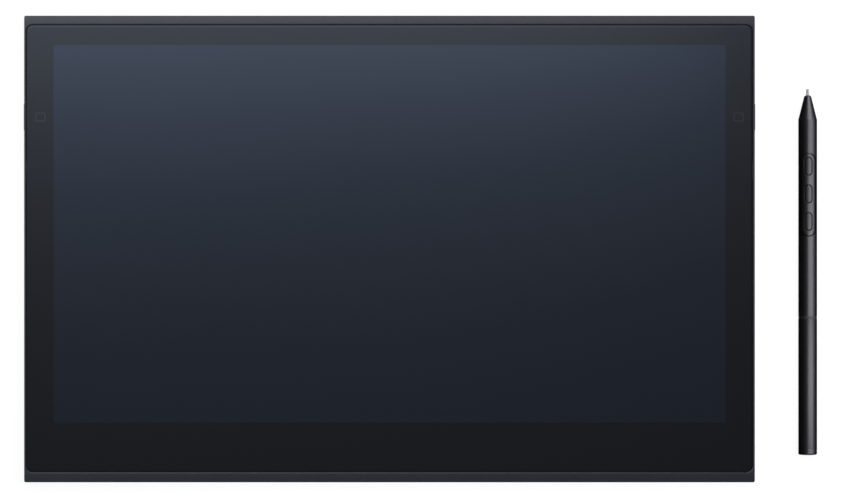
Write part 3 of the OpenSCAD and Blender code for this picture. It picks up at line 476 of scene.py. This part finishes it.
def nib_plastic(colours, tip_y, scuff):
    """Slightly clear light grey plastic, scuffed at the tip."""
    finish = Finish("nib_acetal")
    _, y, _ = finish.axis(finish.place())
    worn = (1 - (tip_y - y) / scuff).clamp()
    grain = finish.noise(9000, 3)
    return finish.surface(
        Base_Color=finish.blend(worn * grain, tint(colours.nib), tint(colours.nib, 0.62)),
        Roughness=0.32 + 0.3 * worn * grain,
        Normal=finish.bump(grain, 0.1, 0.01 * MM),
        Subsurface_Weight=0.25,
        Subsurface_Radius=(1.0, 1.0, 1.0),
        Subsurface_Scale=0.4 * MM)


def moulded(name, base, roughness=0.5, grain_scale=4000):
    """Moulded plastic with a fine spark-eroded grain."""
    finish = Finish(name)
    grain = finish.noise(grain_scale, 3)
    return finish.surface(
        Base_Color=finish.blend(grain, tint(base, 0.9), tint(base, 1.1)),
        Roughness=roughness + 0.12 * grain,
        Normal=finish.bump(grain, 0.2, 0.02 * MM))


def rubber(name, base):
    """Matt rubber: coarse grain and a trace of pale dust."""
    finish = Finish(name)
    grain = finish.noise(2600, 4)
    dust = ((finish.noise(700, 4) - 0.56) * 5).clamp()
    return finish.surface(
        Base_Color=finish.blend(0.25 * dust, tint(base), (0.09, 0.088, 0.082)),
        Roughness=0.68 + 0.2 * grain,
        Normal=finish.bump(grain, 0.35, 0.04 * MM))


def sheet_metal(name, base, stretch=(1, 14, 14), roughness=0.26):
    """Rolled sheet: fine lines drawn out one way."""
    finish = Finish(name)
    lines = finish.noise(900, 3, stretch)
    return finish.surface(
        Base_Color=finish.blend(lines, tint(base, 0.85), tint(base, 1.1)),
        Metallic=1.0,
        Roughness=roughness + 0.14 * lines,
        Normal=finish.bump(lines, 0.12, 0.01 * MM))


def solder_mask(base):
    """Circuit board: glossy mask over faint tracks on a square raster."""
    finish = Finish("board_mask")
    place = finish.place()
    tracks = finish.node(
        "ShaderNodeTexBrick", {"offset": 0.5},
        {"Vector": place, "Scale": 260.0, "Mortar Size": 0.03, "Brick Width": 0.9, "Row Height": 0.3,
         "Color1": (0, 0, 0, 1), "Color2": (0.3, 0.3, 0.3, 1), "Mortar": (1, 1, 1, 1)}, 1)
    cloud = finish.noise(300, 2)
    return finish.surface(
        Base_Color=finish.blend(0.5 * tracks + 0.2 * cloud, tint(base), tint(base, 2.2)),
        Roughness=0.24 + 0.12 * cloud,
        Normal=finish.bump(tracks, 0.2, 0.03 * MM))


def ribbon_film(base):
    """Flexible circuit: amber film over fine copper lines."""
    finish = Finish("ribbon_film")
    lines = finish.node(
        "ShaderNodeTexWave", {"wave_type": "BANDS", "bands_direction": "X"},
        {"Vector": finish.place(), "Scale": 900.0, "Distortion": 0.0}, 1)
    return finish.surface(
        Base_Color=finish.blend(lines, tint(base, 0.7), tint(base, 1.25)),
        Roughness=0.28 + 0.1 * lines,
        Normal=finish.bump(lines, 0.1, 0.02 * MM))


def winding_wire(base):
    """Lacquered copper wire wound round the pen's core, its colour darker in the grooves between the turns
    as painted shade.
    """
    finish = Finish("coil_winding")
    turn_relief_and_shade = finish.node(
        "ShaderNodeTexWave", {"wave_type": "BANDS", "bands_direction": "Y"},
        {"Vector": finish.place(), "Scale": 2000.0, "Distortion": 0.0}, 1)
    return finish.surface(
        # Painted shade: the base colour falls to under half in the grooves between the turns, which the
        # bump also shapes
        Base_Color=finish.blend(turn_relief_and_shade, tint(base, 0.45), tint(base, 1.1)),
        Metallic=0.9,
        Roughness=0.3 + 0.15 * turn_relief_and_shade,
        Normal=finish.bump(turn_relief_and_shade, 0.5, 0.05 * MM))


def floor_white(settings):
    """White floor: a share of its white is its own, and the rest keeps the object's shadow."""
    finish = Finish("floor_white")
    path = finish.node("ShaderNodeLightPath", {}, {})
    seen = [Wire(finish, path.socket.node.outputs[name])
            for name in ("Is Camera Ray", "Is Glossy Ray", "Is Transmission Ray")]
    share = settings.floor_glow * (seen[0] + seen[1] + seen[2]).clamp()
    fleck = finish.noise(30, 2)
    paper = finish.node(
        "ShaderNodeBsdfDiffuse", {},
        {"Color": finish.blend(fleck, (0.9, 0.9, 0.9), (0.94, 0.94, 0.94))})
    glow = finish.node("ShaderNodeEmission", {}, {"Color": (1, 1, 1, 1), "Strength": 1.0})
    mixed = finish.node("ShaderNodeMixShader", {}, {0: share, 1: paper, 2: glow})
    finish.node("ShaderNodeOutputMaterial", {}, {"Surface": mixed})
    return finish.material


# Operators


def pen_axis():
    """X and Z of the pen's axis, from the rear barrel's box, and its radius."""
    low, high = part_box("pen_rear_barrel")
    return ((low.x + high.x) / 2, (low.z + high.z) / 2), (high.x - low.x) / 2


class PieceOperator:
    """What the operators share: they run once on the loaded frame and can be undone."""

    bl_options = {"REGISTER", "UNDO"}


def add_softbox(name, place, aim, size, power, tone, lit):
    """A rectangular lamp at a place that faces a point and lights one collection."""
    lamp = bpy.data.lights.new(name, "AREA")
    lamp.shape = "RECTANGLE"
    lamp.size, lamp.size_y = size
    lamp.energy = power
    lamp.color = tone
    box = bpy.data.objects.new(name, lamp)
    box.location = place
    box.rotation_euler = (Vector(aim) - Vector(place)).to_track_quat("-Z", "Y").to_euler()
    box.visible_camera = False
    box.light_linking.receiver_collection = lit
    bpy.context.scene.collection.objects.link(box)


def add_flag(name, settings, foot, top, height, material):
    """A card that leans away from the pen, from its foot in X to its top, which only reflections show."""
    low, near, far = settings.flag_foot, settings.flag_near, settings.flag_far
    corners = np.array([(foot, near, low), (foot, far, low), (top, far, height), (top, near, height)])
    card = add_mesh(name, corners, [(0, 1, 2, 3)], material)
    card.visible_camera = False
    card.visible_diffuse = False
    card.visible_shadow = False


class PENDISPLAY_OT_stage(PieceOperator, bpy.types.Operator):
    """White floor, four softboxes, two black cards, a dim room and a camera that looks straight down"""

    bl_idname = "pendisplay.stage"
    bl_label = "Stage"

    def execute(self, context):
        settings = values("stage")
        scene = context.scene
        scene.view_settings.view_transform = "Standard"
        floor = self.add_floor(settings)
        self.add_lamps(settings, floor)
        self.add_flags(settings)
        self.add_room(settings, scene)
        self.add_camera(settings, scene)
        return {"FINISHED"}

    def add_floor(self, settings):
        """A flat disc whose rim sweeps up in a quarter circle to a low wall, turned about Z."""
        bend = settings.floor_bend
        turn = np.linspace(0, math.pi / 2, 12)
        flat = np.array([0.0, 0.5, 1.5])
        sweep = settings.floor_radius - bend + bend * np.sin(turn)
        radius = np.concatenate([flat, sweep, [settings.floor_radius]])
        height = np.concatenate([0 * flat, bend * (1 - np.cos(turn)), [settings.wall_height]])
        around = np.linspace(0, 2 * math.pi, 96, endpoint=False)
        ring = np.stack([np.cos(around), np.sin(around), 0 * around], 1)
        rings = radius[:, None, None] * ring + height[:, None, None] * np.array([0, 0, 1])
        index = np.arange(rings[..., 0].size).reshape(rings.shape[:2])
        faces = quads_between(index[1:], index[:-1]).tolist()
        floor = add_mesh("floor_sweep", rings, faces, floor_white(settings))
        return floor

    def add_lamps(self, settings, floor):
        """One softbox for the tablet, and for the pen a long one, a low one and one for its cone."""
        tablet_lit, pen_lit = (bpy.data.collections.new(group) for group in ("tablet_lit", "pen_lit"))
        (pen_x, _), _ = pen_axis()
        cool, violet = (0.925, 0.97, 1), (0.92, 0.92, 1)
        add_softbox(
            "key_softbox", place=(-0.41, 0.68, 0.66), aim=(-0.41, 0.68, 0), size=(1.24, 1.1),
            power=settings.key_power, tone=cool, lit=tablet_lit)
        add_softbox(
            "pen_softbox", place=(0.77, -0.12, 0.93), aim=(pen_x, -0.08, 0), size=(0.5, 1.34),
            power=settings.side_power, tone=violet, lit=pen_lit)
        add_softbox(
            "low_softbox", place=(1.27, 0.3, 0.51), aim=(pen_x, 0.34, 0), size=(0.92, 1.2),
            power=settings.low_power, tone=violet, lit=pen_lit)
        add_softbox(
            "nose_softbox", place=(0.6, 0.68, 0.84), aim=(pen_x, 0.06, 0), size=(0.9, 0.75),
            power=settings.nose_power, tone=violet, lit=pen_lit)
        for group in (tablet_lit, pen_lit):
            group.objects.link(floor)
        for node, piece in NODES.items():
            light(piece, "pen" if node.startswith("pen_") else "tablet")

    def add_flags(self, settings):
        """A high card at the pen's left and a low one at its right, with their reaches from its axis."""
        (pen_x, _), radius = pen_axis()
        foot = radius + settings.flag_gap
        black = moulded("flag_black", (0.002, 0.002, 0.002), 0.8)
        for name, sign, reach, height in (
                ("flag_left", -1, 12.7 * MM, 22 * MM), ("flag_right", 1, 14.3 * MM, 8 * MM)):
            add_flag(name, settings, pen_x + sign * foot, pen_x + sign * reach, height, black)

    def add_room(self, settings, scene):
        """An even, dim room."""
        world = bpy.data.worlds.new("dim_room")
        world.use_nodes = True
        background = world.node_tree.nodes["Background"]
        background.inputs["Color"].default_value = tint(settings.world_tone)
        background.inputs["Strength"].default_value = settings.world_level
        scene.world = world

    def add_camera(self, settings, scene):
        """A long lens straight above, at the height that gives the view its width at the glass."""
        camera = bpy.data.cameras.new("camera_above")
        camera.lens = settings.lens
        camera.sensor_width = settings.sensor
        camera.clip_end = 20
        height = settings.view_width * settings.lens / settings.sensor
        viewer = bpy.data.objects.new("camera_above", camera)
        viewer.location = (settings.view_shift, 0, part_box("front_glass")[1].z + height)
        scene.collection.objects.link(viewer)
        scene.camera = viewer


class PENDISPLAY_OT_cover_glass(PieceOperator, bpy.types.Operator):
    """Cover glass with a ground edge, over the unlit picture"""

    bl_idname = "pendisplay.cover_glass"
    bl_label = "Cover glass"

    def execute(self, context):
        sizes = values("tablet")
        low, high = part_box("front_glass")
        size = high - low
        points, normals = outline(size.x, size.y, sizes.glass_corner, 18)
        edge = rounded_edge(0, high.z, sizes.glass_edge, 8)
        # Insets of the last rows on the flat faces
        under, over = 0.9 * MM, 1.2 * MM
        rings = carried(points, normals, [(under, low.z), (0, low.z), *edge, (over, high.z)])
        rings[..., :2] += np.array([low.x + high.x, low.y + high.y]) / 2
        finish = cover_glass(sizes, values("colours"))
        add_piece("cover_glass", rings, finish, "tablet", ["front_glass"])
        return {"FINISHED"}


class PENDISPLAY_OT_touch_key_marks(PieceOperator, bpy.types.Operator):
    """Printed outlines over the two touch keys"""

    bl_idname = "pendisplay.touch_key_marks"
    bl_label = "Touch key marks"

    def execute(self, context):
        sizes = values("tablet")
        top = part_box("front_glass")[1].z
        points, normals = outline(sizes.mark_width, sizes.mark_depth, sizes.mark_corner, 10)
        line, foot, face = sizes.mark_line, top - sizes.mark_height, top + sizes.mark_height
        profile = [(0, foot), (0, face), (line, face), (line, foot)]
        boxes = [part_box("key_light_" + side) for side in ("left", "right")]
        places = [((low.x + high.x) / 2, (low.y + high.y) / 2, 0) for low, high in boxes]
        rings = copies(carried(points, normals, profile), places)
        finish = ink("touch_key_ink", values("colours").mark)
        add_piece("touch_key_marks", rings, finish, "tablet", closed=True)
        return {"FINISHED"}


class PENDISPLAY_OT_housing(PieceOperator, bpy.types.Operator):
    """Satin coat on the housing"""

    bl_idname = "pendisplay.housing"
    bl_label = "Housing"

    def execute(self, context):
        dress(satin_coat("housing_satin", values("colours").housing), "housing")
        return {"FINISHED"}


class PENDISPLAY_OT_side_buttons(PieceOperator, bpy.types.Operator):
    """Side buttons with round edges and a low crown"""

    bl_idname = "pendisplay.side_buttons"
    bl_label = "Side buttons"

    def execute(self, context):
        sizes = values("tablet")
        finish = satin_coat("side_button_satin", values("colours").side_key)
        for side, sign in (("left", -1), ("right", 1)):
            node = "side_button_" + side
            low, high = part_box(node)
            face = high.x if sign > 0 else -low.x
            back = low.x if sign > 0 else -high.x
            half = (high.z - low.z) / 2
            # The face closes just short of its middle line
            ridge = 0.96 * half
            points, normals = outline(2 * half, sizes.key_length, half, 10)
            edge = rounded_edge(0, face - sizes.key_crown, sizes.key_edge, 6)
            inward = np.linspace(sizes.key_edge, ridge, 6)[1:]
            crown = [(i, face - sizes.key_crown * (1 - (i - sizes.key_edge) / half)) for i in inward]
            rings = carried(points, normals, [(0, back + sizes.key_flange), *edge, *crown])
            across, along, out = np.moveaxis(rings, -1, 0)
            rings = np.stack([sign * out, along + (low.y + high.y) / 2, across + (low.z + high.z) / 2], -1)
            add_piece(node + "_cap", rings, finish, side + "_button", [node])
        dress(finish, "side_button")
        return {"FINISHED"}


class PENDISPLAY_OT_sockets(PieceOperator, bpy.types.Operator):
    """Gilt contacts on the tongues of the sockets, and their bright shells"""

    bl_idname = "pendisplay.sockets"
    bl_label = "Sockets"

    def execute(self, context):
        sizes, colours = values("tablet"), values("colours")
        gilt = sheet_metal("contact_gilt", colours.gold, (1, 6, 6), 0.2)
        face, edge = sizes.tongue_height / 2, sizes.contact_edge
        top = face + sizes.contact_height
        points, normals = outline(sizes.contact_length, sizes.contact_width, sizes.contact_corner, 5)
        over = carried(points, normals, [(0, face - edge), (0, top - edge), (edge, top)])
        under = over * np.array([1, 1, -1])
        row = (np.arange(CONTACTS_IN_ROW) - (CONTACTS_IN_ROW - 1) / 2) * sizes.contact_pitch
        for side, sign in (("left", -1), ("right", 1)):
            low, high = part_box("socket_tongue_" + side)
            tip = high.x if sign > 0 else low.x
            x = tip - sign * (sizes.contact_length / 2 + sizes.contact_setback)
            places = [(x, (low.y + high.y) / 2 + y, (low.z + high.z) / 2) for y in row]
            both = np.concatenate([copies(over, places), copies(under, places)])
            add_piece("socket_contacts_" + side, both, gilt, "tablet")
        dress(sheet_metal("sheet_metal_bright", colours.steel), "steel")
        return {"FINISHED"}


class PENDISPLAY_OT_feet(PieceOperator, bpy.types.Operator):
    """Four rubber feet with round soles"""

    bl_idname = "pendisplay.feet"
    bl_label = "Feet"

    def execute(self, context):
        sizes = values("tablet")
        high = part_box("rubber_feet")[1]
        long, wide, top = sizes.foot_length, sizes.foot_width, high.z
        # Insets of the last rows on the flat faces
        inner, sole = 0.3 * MM, 1.2 * MM
        points, normals = outline(long, wide, wide / 2, 14)
        edge = [(inset, -height) for inset, height in rounded_edge(0, 0, sizes.foot_edge, 7)]
        rings = carried(points, normals, [(inner, top), (0, top), *edge, (sole, 0)])
        far = np.array([high.x - long / 2, high.y - wide / 2, 0])
        places = far * np.array([[1, 1, 1], [-1, 1, 1], [-1, -1, 1], [1, -1, 1]])
        finish = rubber("feet_rubber", values("colours").rubber)
        add_piece("feet", copies(rings, places), finish, "tablet", ["rubber_feet"])
        return {"FINISHED"}


class PENDISPLAY_OT_inner_parts(PieceOperator, bpy.types.Operator):
    """Finishes of the frame, the screen's layers, the boards and the other inner parts"""

    bl_idname = "pendisplay.inner_parts"
    bl_label = "Inner parts"

    def execute(self, context):
        colours = values("colours")
        plain = {
            "frame_plastic": ((0.016, 0.016, 0.018), 0.5), "tape": ((0.006, 0.006, 0.006), 0.75),
            "film": ((0.62, 0.66, 0.7), 0.15), "panel": ((0.012, 0.014, 0.022), 0.2),
            "digitizer": ((0.26, 0.13, 0.035), 0.4), "chip": ((0.01, 0.01, 0.011), 0.45),
            "connector": ((0.5, 0.46, 0.37), 0.5), "plunger": ((0.6, 0.6, 0.57), 0.4),
            "light_guide": ((0.66, 0.7, 0.72), 0.35), "led": ((0.8, 0.77, 0.56), 0.2),
            "spare_nib": ((0.02, 0.02, 0.022), 0.4), "seal": ((0.01, 0.01, 0.01), 0.5),
            "ferrite": ((0.045, 0.04, 0.038), 0.6),
        }
        for slot, (base, roughness) in plain.items():
            dress(moulded(slot + "_moulded", base, roughness), slot)
        dress(sheet_metal("screw_black", (0.09, 0.09, 0.095), (1, 1, 12), 0.35), "screw")
        dress(solder_mask(colours.board), "board")
        dress(ribbon_film(colours.copper), "ribbon")
        dress(winding_wire(colours.copper), "winding")
        return {"FINISHED"}


class PENDISPLAY_OT_pen_barrel(PieceOperator, bpy.types.Operator):
    """Barrel finish, and a rear barrel and end cap with soft edges at their seams"""

    bl_idname = "pendisplay.pen_barrel"
    bl_label = "Pen barrel"

    def execute(self, context):
        sizes, colours = values("pen"), values("colours")
        axis, radius = pen_axis()
        low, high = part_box("pen_button_plate")
        grip = (low.y + high.y) / 2, sizes.grip_reach
        finish = barrel_coat("pen_satin_black", colours.barrel, 0.3, grip)
        dress(finish, "pen_barrel", "pen_plate")
        dress(moulded("pen_collar_matt", colours.collar, 0.5), "pen_inner")
        self.add_rear(sizes, axis, radius, finish)
        self.add_cap(sizes, axis, radius, finish)
        return {"FINISHED"}

    def add_rear(self, sizes, axis, radius, finish):
        """Tube with quarter circles at both outer ends, turned about the pen's axis."""
        low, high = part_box("pen_rear_barrel")
        edge = rounded_edge(0, high.y, sizes.seam_edge, 5)
        front = [(radius - inset, height) for inset, height in edge]
        back = [(radius - inset, low.y + high.y - height) for inset, height in edge]
        profile = [(sizes.bore, high.y), *front[::-1], *back, (sizes.bore, low.y)]
        add_piece("pen_rear_shell", revolved(profile, axis), finish, "pen_rear",
                  ["pen_rear_barrel"], closed=True)

    def add_cap(self, sizes, axis, radius, finish):
        """Cap with ring grooves, a round edge, a low dome and the spigot that holds it in the barrel."""
        low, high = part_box("pen_end_cap")
        groove, soft, bow = sizes.cap_groove, sizes.cap_groove_edge, sizes.cap_edge
        spigot, neck, inner = sizes.bore - sizes.spigot_fit, radius - sizes.cap_groove_depth, radius - bow
        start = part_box("pen_rear_barrel")[0].y - groove
        ring, rim = low.y + sizes.cap_ring, low.y + sizes.cap_bulge
        edge = [(inner + bow * math.cos(turn), rim + bow * (1 - math.sin(turn)))
                for turn in np.linspace(0, math.pi / 2, 9)]
        dome = [(inner * share, rim - sizes.cap_bulge * (1 - share ** 2))
                for share in np.linspace(1, 0, 8)[1:]]
        profile = [
            (0, high.y), (spigot, high.y), (spigot, start + groove), (neck, start + groove), (neck, start),
            (radius - soft, start), (radius, start - soft), (radius, ring + soft), (radius - soft, ring),
            (neck, ring), (neck, ring - groove), (radius - soft, ring - groove),
            (radius, ring - groove - soft), *edge, *dome]
        add_piece("pen_end", revolved(profile, axis), finish, "pen_rear", ["pen_end_cap"])


def pen_key_size(sizes):
    """Width and length of a pen button's face, from its box less its flange."""
    low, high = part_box("pen_button_middle")
    return high.x - low.x - 2 * sizes.key_flange, high.y - low.y - 2 * sizes.key_flange


class PENDISPLAY_OT_pen_plate(PieceOperator, bpy.types.Operator):
    """Button plate with soft edges round its outline and round its three windows"""

    bl_idname = "pendisplay.pen_plate"
    bl_label = "Pen button plate"
    under_rows = 2

    def execute(self, context):
        sizes = values("pen")
        axis, radius = pen_axis()
        low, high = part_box("pen_button_plate")
        plate = (low + high) / 2
        front, middle = (sum(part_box("pen_button_" + key), Vector()) / 2 for key in ("front", "middle"))
        flat, edges = self.cells(sizes, (high - low) / 2, front.y - middle.y, middle.y - plate.y)
        x, y, reach = np.moveaxis(flat, -1, 0)
        reach = reach + radius
        reach[:, self.under_rows:] += high.z - axis[1] - radius
        rings = np.stack([axis[0] + x, plate.y + y, axis[1] + np.sqrt(reach ** 2 - x ** 2)], -1)
        finish = bpy.data.materials["pen_satin_black"]
        add_piece("pen_plate", rings, finish, "pen", ["pen_button_plate"],
                  faces=self.faces(x.shape, edges))
        return {"FINISHED"}

    def cells(self, sizes, half, pitch, lead):
        """Three cells, each a window's outline carried along its normals to the edge of its part.

        The edge is the line half way to the next window, the side of the plate or its half-round end.
        Rows are x, y and the height above the barrel: under the plate from edge to window, then over it
        and back. The height falls on a quarter circle towards a window and towards the plate's outline.
        """
        width, long = (size + 2 * sizes.key_gap for size in pen_key_size(sizes))
        cut, straight = pitch / 2, (long - width) / 2
        soft = np.linspace(0, 1, 6) ** 2
        corner = np.degrees(np.arctan2(cut - straight, half.x - sizes.plate_edge * soft))
        quarter = np.concatenate([
            np.linspace(0, corner[0], 11)[:-1], corner, np.linspace(corner[-1], 90, 7)[1:]])
        points, normals = outline(width, long, width / 2, quarter=quarter)
        away, rise = np.maximum(np.abs(normals), TINY).T
        side, line = (half.x - np.abs(points[:, 0])) / away, (cut - np.abs(points[:, 1])) / rise
        cell = np.array([-1, 0, 1])[:, None]
        centre = half.y - half.x - pitch - cell * lead
        off_x, off_y = np.abs(points[:, 0]), np.abs(points[:, 1]) - centre
        along = off_x * away + off_y * rise
        arc = np.sqrt(np.maximum(along ** 2 - off_x ** 2 - off_y ** 2 + half.x ** 2, 0)) - along
        end = np.where(off_y + side * rise <= 0, side, arc)
        at_end = (np.sign(np.round(normals[:, 1], 6)) * cell) > 0
        width_of_wall = np.where(at_end, end, np.minimum(side, line))
        edges = at_end | (side <= line + TINY)
        # An edge is at most twice as wide where the normal runs aslant to the plate's side
        least_away = 0.5
        square = np.where(at_end & (end == arc), (along + arc) / half.x, np.maximum(away, least_away))
        near = np.broadcast_to(sizes.window_edge * soft[:, None], (len(cell), len(soft), len(points)))
        far = width_of_wall[:, None] - sizes.plate_edge * soft[::-1][:, None] / square[:, None]
        share = np.linspace(0, 1, 8)[1:-1, None]
        between = near[:, -1:] * (1 - share) + far[:, :1] * share
        reach = np.concatenate([far[:, -1:], near[:, :1], near, between, far], 1)
        flat = points + reach[..., None] * normals
        flat[..., 1] += cell[..., None] * pitch + lead
        spine = half.y - half.x
        off = np.hypot(flat[..., 0], flat[..., 1] - np.clip(flat[..., 1], -spine, spine))
        height = -self.fall(reach, sizes.window_edge) - self.fall(half.x - off, sizes.plate_edge)
        height[:, :self.under_rows] = -sizes.plate_height
        return np.concatenate([flat, height[..., None]], -1), edges

    def fall(self, inside, radius):
        """How far a quarter circle of a radius has fallen at a distance in from an edge."""
        short = 1 - np.clip(inside / radius, 0, 1)
        return radius * (1 - np.sqrt(1 - short ** 2))

    def faces(self, shape, edges):
        """Quads between the rows of each cell, and a wall from its last row to its first at the outline."""
        index = np.arange(np.prod(shape)).reshape(shape)
        sheet = quads_between(index[:, :-1], index[:, 1:])
        wall = quads_between(index[:, -1], index[:, 0])
        at_outline = edges & np.roll(edges, -1, 1)
        return np.concatenate([sheet, wall[at_outline.ravel()]]).tolist()


class PENDISPLAY_OT_pen_buttons(PieceOperator, bpy.types.Operator):
    """Three crowned buttons that follow the round of the barrel"""

    bl_idname = "pendisplay.pen_buttons"
    bl_label = "Pen buttons"

    def execute(self, context):
        sizes = values("pen")
        axis, radius = pen_axis()
        finish = barrel_coat("pen_button_satin", values("colours").barrel, 0.34)
        for place in ("front", "middle", "rear"):
            node = "pen_button_" + place
            low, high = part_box(node)
            rings = self.button(sizes, high.z - axis[1], radius)
            across, along, reach = np.moveaxis(rings, -1, 0)
            lift = np.sqrt(np.maximum(reach ** 2 - across ** 2, 0))
            rings = np.stack([axis[0] + across, (low.y + high.y) / 2 + along, axis[1] + lift], -1)
            add_piece(node + "_cap", rings, finish, place + "_pen_button", [node])
        return {"FINISHED"}

    def button(self, sizes, top, radius):
        """A strip with half-round ends carried from flange to crown; heights are radii from the axis."""
        flange_top = radius - sizes.plate_height - sizes.key_seat
        flange_low = flange_top - sizes.key_flange_height
        width, long = pen_key_size(sizes)
        half = width / 2
        # The face and the underside close just short of their middle lines
        ridge, inner, flange = 0.985 * half, 0.9 * half, -sizes.key_flange
        points, normals = outline(width, long, half, 12)
        edge = rounded_edge(0, top - sizes.key_crown, sizes.key_edge, 7)
        inward = np.linspace(sizes.key_edge, ridge, 8)[1:]
        share = (half - inward) / (half - sizes.key_edge)
        crown = np.stack([inward, top - sizes.key_crown * share ** 2], 1).tolist()
        foot = [(inner, flange_low), (flange, flange_low), (flange, flange_top), (0, flange_top)]
        return carried(points, normals, [*foot, *edge, *crown])


class PENDISPLAY_OT_nib(PieceOperator, bpy.types.Operator):
    """Nib with a worn round tip"""

    bl_idname = "pendisplay.nib"
    bl_label = "Nib"

    def execute(self, context):
        sizes = values("pen")
        axis, _ = pen_axis()
        low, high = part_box("pen_nib")
        radius = (high.x - low.x) / 2
        bow, wear, chamfer = sizes.nib_round, sizes.nib_wear, sizes.nib_chamfer
        flat = radius - bow
        tip = [(flat * t, high.y - wear * t ** 2) for t in np.linspace(0, 1, 5)]
        edge = [(flat + bow * math.sin(turn), high.y - wear - bow * (1 - math.cos(turn)))
                for turn in np.linspace(0, math.pi / 2, 9)[1:]]
        profile = [*tip, *edge, (radius, low.y + chamfer), (radius - chamfer, low.y), (0, low.y)]
        finish = nib_plastic(values("colours"), high.y, sizes.nib_scuff)
        add_piece("nib_worn", revolved(profile, axis, 64), finish, "nib", ["pen_nib"])
        dress(finish, "nib")
        return {"FINISHED"}


PIECES = (
    PENDISPLAY_OT_stage, PENDISPLAY_OT_housing, PENDISPLAY_OT_cover_glass, PENDISPLAY_OT_touch_key_marks,
    PENDISPLAY_OT_side_buttons, PENDISPLAY_OT_sockets, PENDISPLAY_OT_feet, PENDISPLAY_OT_inner_parts,
    PENDISPLAY_OT_pen_barrel, PENDISPLAY_OT_pen_plate, PENDISPLAY_OT_pen_buttons, PENDISPLAY_OT_nib,
)


class PENDISPLAY_PT_pieces(bpy.types.Panel):
    """Lists the pieces and the stage"""

    bl_label = "Pen display"
    bl_idname = "PENDISPLAY_PT_pieces"
    bl_space_type = "VIEW_3D"
    bl_region_type = "UI"
    bl_category = "Pen display"

    def draw(self, context):
        for piece in PIECES:
            self.layout.operator(piece.bl_idname)


def register():
    for cls in (*GROUPS.values(), *PIECES, PENDISPLAY_PT_pieces):
        bpy.utils.register_class(cls)
    for name, cls in GROUPS.items():
        setattr(bpy.types.Scene, "pen_display_" + name, bpy.props.PointerProperty(type=cls))


def unregister():
    for name in GROUPS:
        delattr(bpy.types.Scene, "pen_display_" + name)
    for cls in reversed((*GROUPS.values(), *PIECES, PENDISPLAY_PT_pieces)):
        bpy.utils.unregister_class(cls)


def main():
    """Registers the classes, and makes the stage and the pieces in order."""
    register()
    for piece in PIECES:
        group, name = piece.bl_idname.split(".")
        getattr(getattr(bpy.ops, group), name)()


if __name__ == "__main__":
    main()
